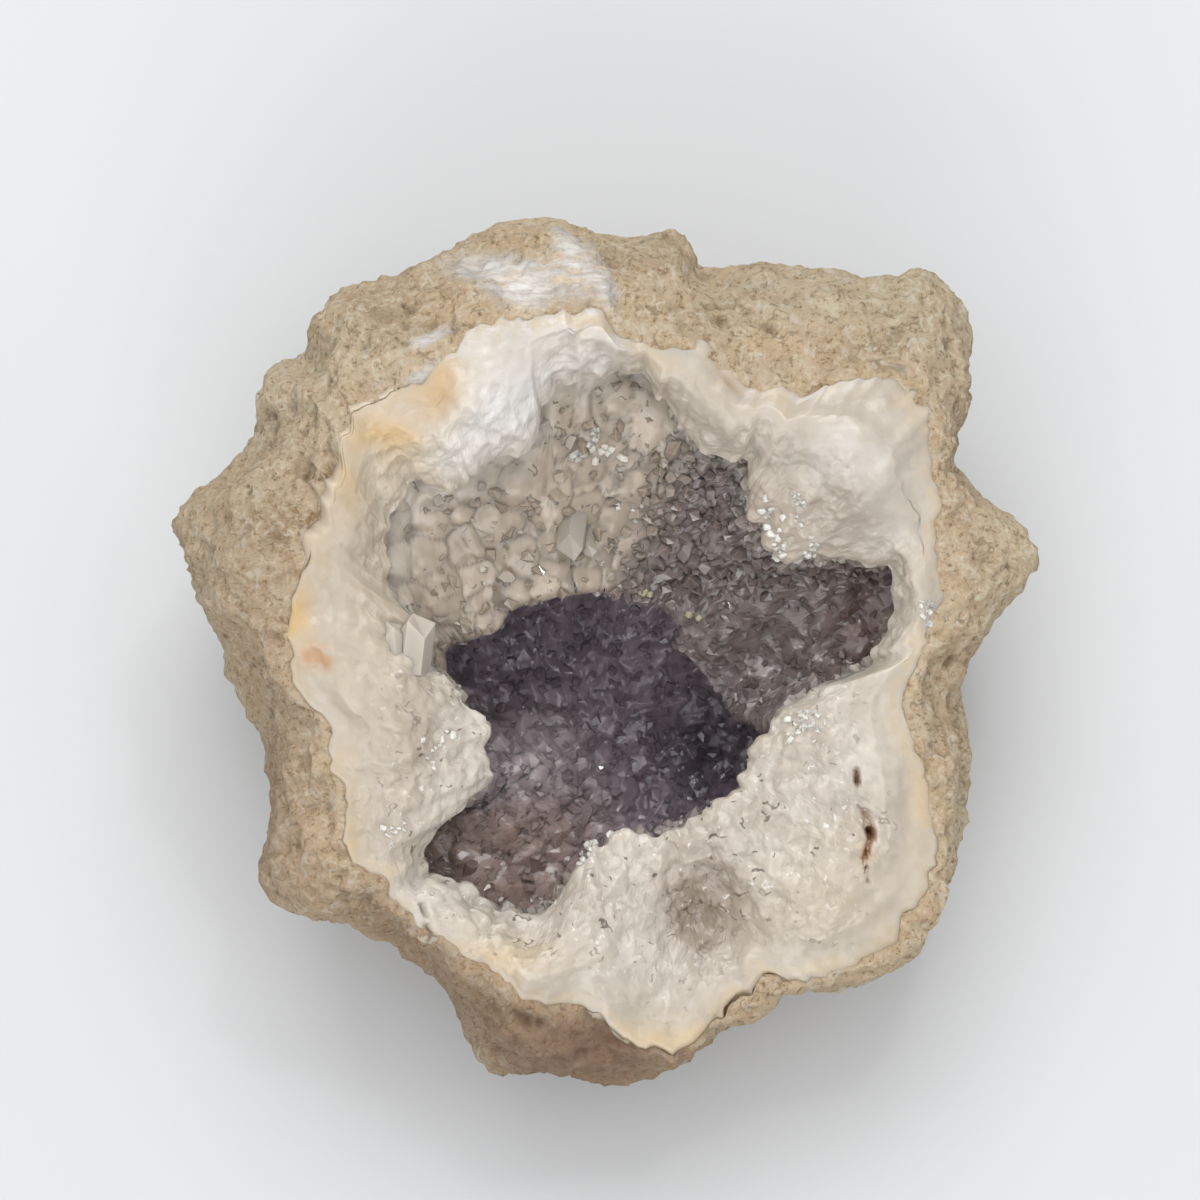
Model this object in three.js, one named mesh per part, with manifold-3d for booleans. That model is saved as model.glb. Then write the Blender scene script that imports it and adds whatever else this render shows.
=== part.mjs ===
// Half of a knobbly geode, in millimetres, +Z up, lying on its worn underside with the hollow open
// to the top. Three layers grew one inside the other, and each is a solid of its own: the
// limestone rind, the band of milky quartz, and the crust of quartz points that lines the hollow.
//
// The stone is drawn in the frame of its open face, as somebody who looks straight into the hollow
// sees it: x to the right, y up the face, z out of the face. It is then leaned towards that person
// about X and set down, with the middle of its footprint at the origin.
import * as THREE from 'three';
import { mergeVertices } from 'three/addons/utils/BufferGeometryUtils.js';
import Module from 'manifold-3d';

// Driving dimensions
const LEAN = THREE.MathUtils.degToRad(12);  // the face's lean towards the person in front
const HOLLOW = new THREE.Vector2(0, -17.5); // the middle of the hollow's deep pocket, on the face
const FOOT = new THREE.Vector2(0, -3);      // the middle of the underside, on the face
const WIDEST_Z = -7;                        // height of the widest girth, in the face's frame
const BOTTOM_Z = -40;                       // the underside before the table wore it flat
const TABLE_Z = -37;                        // the table, below the frame's origin, once leaned
const RIND = 4.5;                           // thickness of the rind
const GAP = 0.35;                           // room left between one layer and the next
const CRUST = 2;                            // thickness of the crust under its points
const FLOOR_Z = -25;                        // the deep pocket's floor
const CRYSTAL_PITCH = 10.5;                 // spacing of the crust's points

// The widest girth, as seen from the front of the face, clockwise from the left-hand knob. Every
// layer is built on the directions of these points.
const GIRTH = [
  [-53.1, 10.2], [-49, 15], [-43.1, 20.2], [-42, 25.4], [-40.3, 29], [-37, 30.8], [-35, 36.5],
  [-32.4, 39.4], [-24.8, 41], [-19.2, 44.5], [-10, 48], [-4.5, 47.4], [2.8, 45], [8.4, 45.5],
  [13.8, 41.5], [21.1, 42.4], [28.8, 41.5], [34.6, 40], [40.6, 40.5], [42.9, 39.5], [45.4, 34.1],
  [45.3, 26.6], [45, 16.6], [50.3, 11.3], [52.5, 5.9], [51.9, 1.9], [49.4, -3.3], [47.1, -7.6],
  [45.6, -12.5], [46.1, -20.4], [45.8, -27.5], [44, -32.5], [40.8, -41.1], [38.1, -46],
  [33.6, -48.1], [21.3, -49.7], [17.6, -53.1], [11.3, -57.5], [3.8, -60.3], [-6.3, -59.9],
  [-12.9, -59.9], [-18.4, -51.9], [-20.8, -47.5], [-31.5, -40.1], [-36, -39.6], [-41.1, -33.6],
  [-41.5, -26.4], [-41.8, -18.5], [-44.3, -12.1], [-46.8, -6.1], [-49.9, -0.9], [-51.1, 3.9],
];

// Where the rind gives way to the milky band, clockwise from the left
const RIM = [
  [-33.1, 10], [-31.9, 15], [-31.3, 20], [-28.1, 24], [-21.3, 26.9], [-18, 30.3], [-15.6, 33.4],
  [-11.3, 34.4], [-5.6, 35], [-0.5, 35.4], [3.1, 31.6], [8, 30.6], [12, 29.8], [15.9, 27],
  [17.9, 25], [21.5, 25.4], [23.5, 24.6], [29.5, 27], [33.9, 27.4], [37.1, 25.8], [39.9, 23.8],
  [41.3, 18.8], [41.9, 14.6], [41.9, 5], [40.8, -4.1], [38.1, -11.3], [38, -15.6], [40.8, -22.4],
  [41.6, -30.4], [41.2, -35.6], [38.6, -39.6], [35, -44], [28.4, -46.5], [24.9, -47.2],
  [19.6, -47.2], [16.8, -50.4], [11, -55], [8.5, -55.9], [5.3, -55.6], [1.8, -52.8],
  [-1.5, -50.9], [-6.9, -49.9], [-10.4, -48.4], [-12, -46], [-19.3, -42], [-23.1, -39.1],
  [-27.1, -35.1], [-31.5, -30.4], [-31.8, -24.9], [-32.8, -19.6], [-33.9, -14.9],
  [-36.8, -12.5], [-37.9, -9.3], [-38.5, -2.5], [-35.6, 4.4],
];

// The inner edge of the milky band, where it looks down into the hollow, anticlockwise from the right
const LIP = [
  [20.3, -16.5], [21.4, -14.1], [23.9, -12.9], [26.9, -10.8], [30, -10.1], [33.5, -8.5],
  [34.5, -5.6], [35.9, 0], [34.5, 3.8], [31.4, 4.8], [26.9, 5], [23, 4.8], [21.1, 6.5],
  [19.6, 8.8], [18.5, 12.5], [18.5, 16], [16.9, 18], [12.5, 18.4], [10, 21.5], [6.9, 25],
  [3.5, 28.5], [0, 26.9], [-4.4, 26.5], [-6.9, 23.5], [-7.3, 20.5], [-9.6, 17.5], [-13.3, 16.8],
  [-16.3, 14.4], [-20, 13.3], [-23.1, 13.8], [-25.3, 10], [-26, 5], [-25, 0], [-21.9, -3.1],
  [-20.3, -7.5], [-16.3, -11.9], [-13.8, -16.3], [-13.5, -21.3], [-16.9, -26], [-20.9, -29],
  [-20.8, -34], [-16.9, -35.9], [-12.9, -37.8], [-7.4, -38.8], [-4.4, -35.6], [-2.5, -32.8],
  [-0.1, -29.8], [2.5, -28.5], [6.3, -28.6], [9.6, -27.5], [12.6, -26.1], [15.6, -24.5],
  [17.3, -21.9], [19, -18.8],
];

// The edge of the deep pocket, with its height, anticlockwise from the right. Above it lies the
// gallery, a slope of crystals that faces the open face.
const THROAT = [
  [21.2, -17.5, -4], [18.6, -15.4, -7], [15.3, -13.1, -9], [13.6, -10.6, -9], [11.3, -7.5, -8],
  [10, -5.4, -7], [10.3, -2.8, -5], [8.1, -0.4, -2], [5, 1, 1], [0, 1.8, 3], [-5, 1.3, 4],
  [-10, -0.1, 4], [-13.1, -2.8, 3], [-16.3, -4.5, 3], [-19.8, -6.2, 2], [-18.2, -11.4, 1],
  [-15.2, -16.3, 1], [-15, -21.3, 0], [-18.4, -26.4, 0], [-22.4, -29.2, 0], [-22.3, -34.8, 0],
  [-17.8, -37.4, 0], [-7.6, -40.4, 0], [-3.2, -35.8, 1], [0.2, -31.2, 2], [6.4, -30.1, 2],
  [13.6, -27.4, 1], [18.5, -22.6, -1],
];

// Knobs and hollows of the rind: x, y, z in the face's frame, reach, height
const KNOBS = [
  [-44, 9, 6, 6, 2.2],      // the left-hand knob
  [-35, 22, 10, 3.4, -1.8], // groove between it and the next
  [-32, 33, 8, 6, 2.0],     // upper left knob
  [-39, 25, 0, 4, 1.0],
  [-10, 43, 8, 5, 1.6],     // knob over the top
  [14, 38, 6, 4, -1.4],     // groove to its right
  [24, 35, 8, 7, 1.2],
  [41, 36, 2, 6, 1.8],      // upper right corner
  [44, 16, 2, 4, -1.3],
  [49, 4, 0, 6, 1.8],       // right-hand knob
  [44, -14, 0, 4, -1.0],
  [-41, -17, 4, 5, -1.4],   // groove above the lower left knob
  [-37, -32, 2, 6, 1.6],    // lower left knob
  [-22, -42, -4, 4, -1.2],
  [-4, -55, -8, 7, -1.2],   // hollow under the near rim
  [-30, 20, -28, 9, 2.5],   // knobs of the underside
  [28, 24, -27, 8, 2.6],
  [30, -22, -27, 8, 2.2],
  [-27, -20, -29, 8, 2.0],
  [2, 34, -28, 7, 2.2],
  [-46, 4, -20, 7, 2.0],
  [44, 2, -22, 7, 1.8],
  [4, -46, -26, 7, 2.0],
];

// Swells and hollows of the broken face: x, y, reach, height
const FACE_SWELLS = [
  [-13.8, 22, 4.5, 3.2],    // the white lump over the gallery
  [-1.3, 31.3, 4.0, 2.2],   // its neighbour at the top
  [30, 16.3, 8, 4.0],       // the cloudy lobe at the upper right
  [-25, -12.5, 6, 2.6],     // the lobe at the left
  [28.8, -27.5, 10, 3.0],   // the broad lobe at the lower right
  [-4, -45, 6, 1.6],
  [12.5, -39.4, 4.2, -6.5], // the small second hollow
];

// Humps and dips of the pocket's floor: x, y, reach, height
const FLOOR_SWELLS = [
  [-8.8, -22.5, 5, 5.0],    // a hump in the middle
  [12.5, -21.9, 5, -3.0],   // the darkest corner
  [-15, -32, 6, 6.0],       // the floor climbs to the lower left
];

// Long swells of the rind: direction times 2 pi over wavelength, phase, height
const WAVES = [
  [0.23, 0.11, 0.17, 1.3, 0.7],
  [-0.14, 0.31, 0.12, 0.4, 0.6],
  [0.37, -0.22, 0.31, 2.6, 0.45],
  [-0.41, -0.35, 0.28, 4.1, 0.4],
  [0.12, 0.49, -0.44, 5.3, 0.35],
];

const { sin, cos, abs, PI, exp, hypot, floor, min, max, atan2 } = Math;
const steps = (from, to, count) =>
  Array.from({ length: count + 1 }, (_, i) => from + ((to - from) * i) / count);
const bell = (squared, reach) => exp(-squared / (2 * reach * reach));

// The values of column `k` of a closed line of points, as a smooth function of the direction from
// HOLLOW. Monotone cubic pieces join the points, so that no stretch swings past its ends.
function roundTheHollow(points, valueOf) {
  const knots = points
    .map((p) => [atan2(p[1] - HOLLOW.y, p[0] - HOLLOW.x), valueOf(p)])
    .sort((a, b) => a[0] - b[0]);
  const n = knots.length;
  const at = (i) => knots[((i % n) + n) % n];
  const step = (i) => (at(i + 1)[0] - at(i)[0] + 4 * PI) % (2 * PI);
  const slope = (i) => (at(i + 1)[1] - at(i)[1]) / step(i);
  const tangent = (i) => {
    const [before, after] = [slope(i - 1), slope(i)];
    if (before * after <= 0) return 0;
    const [h0, h1] = [step(i - 1), step(i)];
    return (3 * (h0 + h1)) / ((2 * h1 + h0) / before + (h1 + 2 * h0) / after);
  };
  return (angle) => {
    const turned = angle - 2 * PI * floor((angle - at(0)[0]) / (2 * PI));
    let i = n - 1;
    while (i > 0 && at(i)[0] > turned) i -= 1;
    const h = step(i);
    const t = (turned - at(i)[0]) / h;
    return (2 * t ** 3 - 3 * t ** 2 + 1) * at(i)[1] + (t ** 3 - 2 * t ** 2 + t) * h * tangent(i)
      + (3 * t ** 2 - 2 * t ** 3) * at(i + 1)[1] + (t ** 3 - t ** 2) * h * tangent(i + 1);
  };
}

const reachOf = (p) => hypot(p[0] - HOLLOW.x, p[1] - HOLLOW.y);
const girthReach = roundTheHollow(GIRTH, reachOf);
const rimReach = roundTheHollow(RIM, reachOf);
const lipReach = roundTheHollow(LIP, reachOf);
const throatReach = roundTheHollow(THROAT, reachOf);
const throatHeight = roundTheHollow(THROAT, (p) => p[2]);

const fromHollow = (angle, reach, z = 0) =>
  new THREE.Vector3(HOLLOW.x + reach * cos(angle), HOLLOW.y + reach * sin(angle), z);

// Height of the broken face: a plane that falls to the right and towards the near side
const faceHeight = (x, y) => 13 - 0.13 * x + 0.15 * (y + 6);

// How far a surface swells up, or sinks in, over the point x, y of the face
const swell = (swells, x, y) =>
  swells.reduce((sum, [a, b, reach, height]) => sum + height * bell((x - a) ** 2 + (y - b) ** 2, reach), 0);

// Moves a point of the rind out from the stone's middle by its knobs, hollows and long swells
function knobbly(p, share) {
  const waves = WAVES.reduce((sum, [a, b, c, phase, height]) =>
    sum + height * sin(a * p.x + b * p.y + c * p.z + phase), 0);
  const knobs = KNOBS.reduce((sum, [a, b, c, reach, height]) =>
    sum + height * bell((p.x - a) ** 2 + (p.y - b) ** 2 + (p.z - c) ** 2, reach), 0);
  const out = new THREE.Vector3(p.x - FOOT.x, p.y - FOOT.y, p.z - WIDEST_Z + 3).normalize();
  return p.addScaledVector(out, (waves + knobs) * share);
}

// A point of a bowl under the girth: the girth's line, drawn in by `inset`, shrinks towards FOOT as
// `turn` goes from 0 at the girth to 1 at the bottom, along a rounded quarter curve. On the way it
// grows rounder, for the knobs of the girth don't reach down to the underside.
function bowl(angle, turn, inset, bottom) {
  const edge = fromHollow(angle, girthReach(angle) - inset);
  const round = hypot(edge.x - FOOT.x, edge.y - FOOT.y);
  const calm = 0.9 * min(1, turn * 1.5);
  edge.lerp(new THREE.Vector3(
    FOOT.x + ((edge.x - FOOT.x) / round) * (44 - inset),
    FOOT.y + ((edge.y - FOOT.y) / round) * (47 - inset),
    0,
  ), calm);
  const share = cos((turn * PI) / 2) ** 0.8;
  const drop = sin((turn * PI) / 2) ** 0.85;
  return new THREE.Vector3(
    FOOT.x + (edge.x - FOOT.x) * share,
    FOOT.y + (edge.y - FOOT.y) * share,
    WIDEST_Z + (bottom - WIDEST_Z) * drop,
  );
}

const rimPoint = (angle, inset = 0) => {
  const p = fromHollow(angle, rimReach(angle) - inset);
  p.z = faceHeight(p.x, p.y);
  return p;
};

// The rind's outside: `up` runs from 0 at the bottom, by 0.55 at the girth, to 1 at the rim
const GIRTH_AT = 0.55;
function rindOutside(angle, up) {
  const fade = 1 - exp(-(((up - GIRTH_AT) / 0.1) ** 2));
  if (up <= GIRTH_AT) return knobbly(bowl(angle, 1 - up / GIRTH_AT, 0, BOTTOM_Z), fade);
  const turn = (up - GIRTH_AT) / (1 - GIRTH_AT);
  const [rim, girth] = [rimPoint(angle), fromHollow(angle, girthReach(angle), WIDEST_Z)];
  const p = rim.clone().lerp(girth, cos((turn * PI) / 2) ** 0.9);
  p.z = WIDEST_Z + (rim.z - WIDEST_Z) * sin((turn * PI) / 2) ** 0.9;
  return knobbly(p, fade * (1 - turn ** 4));
}

// The seam between rind and quartz: `down` runs from 0 at the rim, by 0.3 at the girth, to 1 at the
// bottom, and `inset` draws it in by the room between the two
const SEAM_GIRTH_AT = 0.3;
const SEAM_RINGS = [0, 0.15, SEAM_GIRTH_AT, 0.55, 0.8];
function seam(angle, down, inset) {
  if (down >= SEAM_GIRTH_AT) {
    const turn = (down - SEAM_GIRTH_AT) / (1 - SEAM_GIRTH_AT);
    return bowl(angle, turn, RIND + inset, BOTTOM_Z + RIND + 3 + inset);
  }
  const top = rimPoint(angle, inset);
  return top.lerp(bowl(angle, 0, RIND + inset, BOTTOM_Z), down / SEAM_GIRTH_AT);
}

// Height of the lip, a little under the face
function lipHeight(angle) {
  const lip = fromHollow(angle, lipReach(angle));
  return faceHeight(lip.x, lip.y) - 4.5;
}

// The hollow's wall in one direction, from the lip to the middle of the floor: distance from the
// middle, height, and the way into the wall as [out, up]
function hollowProfile(angle) {
  const lipZ = lipHeight(angle);
  const toRight = bell((((angle - 0.35 + 3 * PI) % (2 * PI)) - PI) ** 2, 0.3);
  const recess = [lipReach(angle) + 0.7 + 1.8 * toRight, lipZ - 3 - 4.5 * toRight];
  const throat = [throatReach(angle), min(throatHeight(angle), recess[1] - 2)];
  const run = [recess[0] - throat[0], recess[1] - throat[1]];
  const length = hypot(...run);
  const wall = [(CRUST * run[1]) / length, (-CRUST * max(run[0], 0)) / length];
  const slope = (share) => [recess[0] - run[0] * share, recess[1] - run[1] * share, ...wall];
  const undercut = 3.5 + 1.5 * sin(angle);
  const chamber = throat[0] + undercut;
  return [
    [lipReach(angle), lipZ, CRUST, 0],
    [...recess, CRUST, -0.4],
    slope(0.33),
    slope(0.67),
    [...throat, CRUST * 1.6, -0.8],
    [chamber, throat[1] - 7, CRUST, -0.3],
    [chamber * 0.86, FLOOR_Z + 4, CRUST * 0.6, -CRUST * 0.8],
    [chamber * 0.62, FLOOR_Z + 1, 0.3, -CRUST],
    [chamber * 0.33, FLOOR_Z, 0, -CRUST],
    [0, FLOOR_Z, 0, -CRUST],
  ];
}
const PROFILE_KNOTS = hollowProfile(0).length;
const FRONT_RINGS = steps(0, 1, PROFILE_KNOTS - 1).slice(0, -1);
const BACK_RINGS = FRONT_RINGS.filter((along, i) => i !== 2);

// A point of the hollow's wall: `along` is 0 at the lip and 1 at the middle of the floor, and `into`
// moves it into the wall, 1 being the crust's back
function hollowWall(angle, along, into = 0) {
  const knots = hollowProfile(angle);
  const place = min(along, 1) * (PROFILE_KNOTS - 1);
  const i = min(floor(place), PROFILE_KNOTS - 2);
  const [a, b, t] = [knots[i], knots[i + 1], place - i];
  const at = (k) => a[k] + (b[k] - a[k]) * t;
  const p = fromHollow(angle, max(at(0) + at(2) * into, 0));
  const ofFace = max(0, 1 - along / 0.3);
  const ofFloor = min(1, max(0, (along - 0.45) / 0.2));
  p.z = at(1) + at(3) * into + swell(FACE_SWELLS, p.x, p.y) * ofFace + swell(FLOOR_SWELLS, p.x, p.y) * ofFloor;
  return p;
}

// The broken face of the band: `across` is 0 at the rim and 1 at the crust's edge
function brokenFace(angle, across, inset) {
  const lip = fromHollow(angle, lipReach(angle) + CRUST + GAP);
  lip.z = lipHeight(angle);
  const p = rimPoint(angle, inset).lerp(lip, across);
  const rise = sin(across * PI);
  const share = min(1, across * 4);
  p.z += 1.4 * rise + swell(FACE_SWELLS, p.x, p.y) * share;
  return p;
}

// The directions of the girth's points, anticlockwise
const ANGLES = GIRTH.map(([x, y]) => atan2(y - HOLLOW.y, x - HOLLOW.x)).sort((a, b) => a - b);
const STATIONS = ANGLES.length;

// From the face's frame to the table's: leaned about X, set on the table, and worn flat below `floorAt`
function setDown(p, floorAt = 0) {
  const y = p.y * cos(LEAN) - p.z * sin(LEAN);
  const z = p.y * sin(LEAN) + p.z * cos(LEAN) - TABLE_Z;
  return new THREE.Vector3(p.x, y, max(z, floorAt));
}

// A closed skin through rings of points: `rising` runs from the bottom of the outside up to the
// top, `falling` from there down to the bottom of the inside. The bottom rings are single points.
// A quad is split the same way on both sides, so that facing skins stay parallel.
function skin(rising, falling) {
  const positions = [];
  const rings = [...rising, ...falling];
  for (let r = 0; r + 1 < rings.length; r += 1) {
    const [here, next] = [rings[r], rings[r + 1]];
    for (let i = 0; i < STATIONS; i += 1) {
      const j = (i + 1) % STATIONS;
      if (here.length === 1) positions.push(...here[0], ...next[j], ...next[i]);
      else if (next.length === 1) positions.push(...here[i], ...here[j], ...next[0]);
      else if (r + 1 < rising.length) {
        positions.push(...here[i], ...here[j], ...next[j], ...here[i], ...next[j], ...next[i]);
      } else {
        positions.push(...here[i], ...here[j], ...next[i], ...here[j], ...next[j], ...next[i]);
      }
    }
  }
  const geometry = new THREE.BufferGeometry();
  return geometry.setAttribute('position', new THREE.Float32BufferAttribute(positions, 3));
}

const ring = (pointAt, floorAt) => ANGLES.map((angle) => setDown(pointAt(angle), floorAt).toArray());
const pole = (p, floorAt) => [setDown(p, floorAt).toArray()];
// Booleans, for the crust's points
const wasm = await Module();
wasm.setup();

function solid(geometry) {
  const bare = new THREE.BufferGeometry().setAttribute('position', geometry.getAttribute('position'));
  const merged = mergeVertices(geometry.index ? geometry : bare, 1e-4);
  return new wasm.Manifold(new wasm.Mesh({
    numProp: 3,
    vertProperties: merged.attributes.position.array,
    triVerts: new Uint32Array(merged.index.array),
  }));
}

function geometryOf(manifold) {
  const mesh = manifold.getMesh();
  const geometry = new THREE.BufferGeometry();
  geometry.setAttribute('position', new THREE.Float32BufferAttribute(mesh.vertProperties, 3));
  return geometry.setIndex(Array.from(mesh.triVerts)).toNonIndexed();
}

// The limestone rind: a knobbly bowl whose rim curls in over the girth
function rindGeometry() {
  const outside = [...steps(0.11, GIRTH_AT, 5), ...steps(GIRTH_AT, 1, 4).slice(1)];
  const inside = SEAM_RINGS.slice(1);
  const lowest = RIND - 1;
  return skin(
    [pole(rindOutside(0, 0)), ...outside.map((up) => ring((angle) => rindOutside(angle, up)))],
    [...inside.map((down) => ring((angle) => seam(angle, down, 0), lowest)), pole(seam(0, 1, 0), lowest)],
  );
}

// The band of milky quartz between the rind and the crust, with its broken face
function bandGeometry() {
  const outside = SEAM_RINGS.toReversed();
  const lowest = RIND - 1 + GAP;
  const behind = 1 + GAP / CRUST;
  return skin(
    [pole(seam(0, 1, GAP), lowest), ...outside.map((down) => ring((angle) => seam(angle, down, GAP), lowest))],
    [
      ...[0.15, 0.38, 0.62, 0.85].map((across) => ring((angle) => brokenFace(angle, across, GAP))),
      ...BACK_RINGS.map((along) => ring((angle) => hollowWall(angle, along, behind))),
      pole(hollowWall(0, 1, behind)),
    ],
  );
}

// A repeatable number from 0 to 1 for the i-th crystal
const chance = (i, k) => abs(sin(i * 12.9898 + k * 78.233) * 43758.5453) % 1;

// One quartz point: a six-sided prism with a six-sided pyramid on it, standing on `foot` along `way`
function quartzPoint(foot, way, width, height, spin) {
  const outline = [
    new THREE.Vector2(0, 0),
    new THREE.Vector2(width, 0),
    new THREE.Vector2(width * 0.92, height * 0.55),
    new THREE.Vector2(0, height),
  ];
  const point = new THREE.LatheGeometry(outline, 6);
  point.deleteAttribute('uv');
  point.deleteAttribute('normal');
  const turn = new THREE.Quaternion().setFromUnitVectors(new THREE.Vector3(0, 1, 0), way);
  point.rotateY(spin);
  point.applyQuaternion(turn);
  point.translate(foot.x, foot.y, foot.z);
  return solid(mergeVertices(point, 1e-3));
}

// The crust's points, in rows down the wall from the lip to the floor, leaning this way and that
function quartzPoints() {
  const points = [];
  const rows = [0.08, 0.21, 0.35, 0.5, 0.66, 0.83];
  for (const [row, along] of rows.entries()) {
    const length = ANGLES.reduce((sum, angle, i) => {
      const next = ANGLES[(i + 1) % STATIONS];
      return sum + hollowWall(angle, along).distanceTo(hollowWall(next, along));
    }, 0);
    const count = max(1, floor(length / CRYSTAL_PITCH));
    for (let i = 0; i < count; i += 1) {
      const id = row * 100 + i;
      const angle = (2 * PI * (i + 0.5 * (row % 2) + 0.4 * chance(id, 1))) / count;
      const here = hollowWall(angle, along + 0.02 * (chance(id, 2) - 0.5));
      const round = hollowWall(angle + 0.05, along).sub(hollowWall(angle - 0.05, along));
      const down = hollowWall(angle, along + 0.03).sub(hollowWall(angle, max(along - 0.03, 0)));
      const way = round.cross(down).normalize();
      way.x += 0.7 * (chance(id, 3) - 0.5);
      way.y += 0.7 * (chance(id, 4) - 0.5);
      way.normalize();
      const width = 2.5 + 1.7 * chance(id, 5);
      const height = 1.6 + width * (0.9 + 0.5 * chance(id, 6));
      points.push(quartzPoint(here.addScaledVector(way, -1.6), way, width, height, 6 * chance(id, 7)));
    }
  }
  return points;
}

// The crust: the lining of the hollow, with its points grown into it. The points are trimmed to the
// space inside the crust's back, so that none reaches the band.
function crustGeometry() {
  const back = (into) => [
    pole(hollowWall(0, 1, into)),
    ...BACK_RINGS.toReversed().map((along) => ring((angle) => hollowWall(angle, along, into))),
  ];
  const lining = skin(back(1), [
    ...FRONT_RINGS.map((along) => ring((angle) => hollowWall(angle, along))),
    pole(hollowWall(0, 1)),
  ]);
  const above = (angle) => hollowWall(angle, 0, 0.75).setZ(60);
  const space = skin([...back(0.7), ring(above)], [pole(new THREE.Vector3(HOLLOW.x, HOLLOW.y, 60))]);
  const standing = new THREE.Matrix4().makeRotationX(LEAN).setPosition(0, 0, -TABLE_Z);
  const grown = wasm.Manifold.union(quartzPoints()).transform(standing.elements);
  const bodies = solid(lining).add(grown.intersect(solid(space))).decompose();
  return geometryOf(bodies.reduce((a, b) => (b.volume() > a.volume() ? b : a)));
}

const finishes = {
  rind: new THREE.MeshStandardMaterial({ color: 0xc4b08e, roughness: 0.95, metalness: 0 }),
  quartz_band: new THREE.MeshStandardMaterial({ color: 0xe4e0d8, roughness: 0.5, metalness: 0 }),
  crystal_crust: new THREE.MeshStandardMaterial({ color: 0x857a86, roughness: 0.2, metalness: 0 }),
};

const geode = new THREE.Group();
const layers = { rind: rindGeometry(), quartz_band: bandGeometry(), crystal_crust: crustGeometry() };
for (const [name, geometry] of Object.entries(layers)) {
  const mesh = new THREE.Mesh(geometry, finishes[name]);
  mesh.name = name;
  geode.add(mesh);
}

// The middle of the footprint goes to the origin
const size = new THREE.Box3().setFromObject(geode);
geode.position.set(-(size.min.x + size.max.x) / 2, -(size.min.y + size.max.y) / 2, 0);

export default geode;
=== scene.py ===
# %% [markdown]
# # A geode half, layer by layer
#
# A geode is a hollow stone. Water left milky quartz on the wall of a bubble in limestone, and then
# clear points of quartz grew into the room that was left. This one was broken in half, and lies
# with its hollow open to the top.
#
# The scene has four kinds of piece: the tan rind, the broken face of milky quartz, the lining of the
# hollow, and the crystals that stand on it. Each surface is worked out with numpy on a grid of
# stations round the stone and steps across it.

# %% Load the frame
import math

import bpy
import numpy as np
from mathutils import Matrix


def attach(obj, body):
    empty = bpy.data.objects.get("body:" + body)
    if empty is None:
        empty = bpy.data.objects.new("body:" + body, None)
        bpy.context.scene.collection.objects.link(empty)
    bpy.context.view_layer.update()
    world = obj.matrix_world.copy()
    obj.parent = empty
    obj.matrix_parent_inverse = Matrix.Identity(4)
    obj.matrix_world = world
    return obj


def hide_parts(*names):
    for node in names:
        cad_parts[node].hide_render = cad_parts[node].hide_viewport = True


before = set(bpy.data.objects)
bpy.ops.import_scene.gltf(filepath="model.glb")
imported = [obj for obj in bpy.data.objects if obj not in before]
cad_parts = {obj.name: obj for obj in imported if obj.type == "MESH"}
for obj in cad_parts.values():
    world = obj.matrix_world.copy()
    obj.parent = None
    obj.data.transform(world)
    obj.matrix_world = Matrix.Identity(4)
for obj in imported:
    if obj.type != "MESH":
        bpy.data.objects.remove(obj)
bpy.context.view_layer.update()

# %% [markdown]
# ## The stone's own frame
#
# The stone is easiest to draw in the frame of its open face: x to the right, y up the face and z
# out of it, in millimetres, as somebody sees it who looks straight into the hollow. At the end each
# point is leaned 12 degrees about X, set on the table, and turned into metres. Working in the real
# object's millimetres keeps every number in this script readable.

# %% From the face's frame to the table
LEAN = math.radians(12)
TABLE_Z = -37.0
SHIFT = np.array([-0.5079, 4.5174])


def set_down(p):
    """Points of the face's frame, in mm, on the table, in metres: y and z turned by LEAN about X,
    z counted from TABLE_Z and never below the table, x and y moved by SHIFT."""
    y = p[..., 1] * math.cos(LEAN) - p[..., 2] * math.sin(LEAN)
    z = p[..., 1] * math.sin(LEAN) + p[..., 2] * math.cos(LEAN) - TABLE_Z
    return np.stack([p[..., 0] + SHIFT[0], y + SHIFT[1], np.maximum(z, 0)], axis=-1) / 1000


print("The face's middle lies at", set_down(np.array([0.0, 0.0, 0.0])).round(4))

# %% [markdown]
# ## The outlines
#
# Four closed lines give the stone its character: the widest girth, the rim where the rind gives way
# to quartz, the lip of the hollow, and the throat of its deep pocket. Each is a list of points that
# were read off, joined by a curve. Straight pieces would look cut, and an ordinary spline swings
# past its points, so the curve is a monotone cubic: it never leaves the range of two neighbours.

# %% Girth, rim, lip and throat
GIRTH = np.array([
    [-53.1, 10.2], [-49, 15], [-43.1, 20.2], [-42, 25.4], [-40.3, 29], [-37, 30.8], [-35, 36.5],
    [-32.4, 39.4], [-24.8, 41], [-19.2, 44.5], [-10, 48], [-4.5, 47.4], [2.8, 45], [8.4, 45.5],
    [13.8, 41.5], [21.1, 42.4], [28.8, 41.5], [34.6, 40], [40.6, 40.5], [42.9, 39.5], [45.4, 34.1],
    [45.3, 26.6], [45, 16.6], [50.3, 11.3], [52.5, 5.9], [51.9, 1.9], [49.4, -3.3], [47.1, -7.6],
    [45.6, -12.5], [46.1, -20.4], [45.8, -27.5], [44, -32.5], [40.8, -41.1], [38.1, -46],
    [33.6, -48.1], [21.3, -49.7], [17.6, -53.1], [11.3, -57.5], [3.8, -60.3], [-6.3, -59.9],
    [-12.9, -59.9], [-18.4, -51.9], [-20.8, -47.5], [-31.5, -40.1], [-36, -39.6], [-41.1, -33.6],
    [-41.5, -26.4], [-41.8, -18.5], [-44.3, -12.1], [-46.8, -6.1], [-49.9, -0.9], [-51.1, 3.9]])
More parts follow.
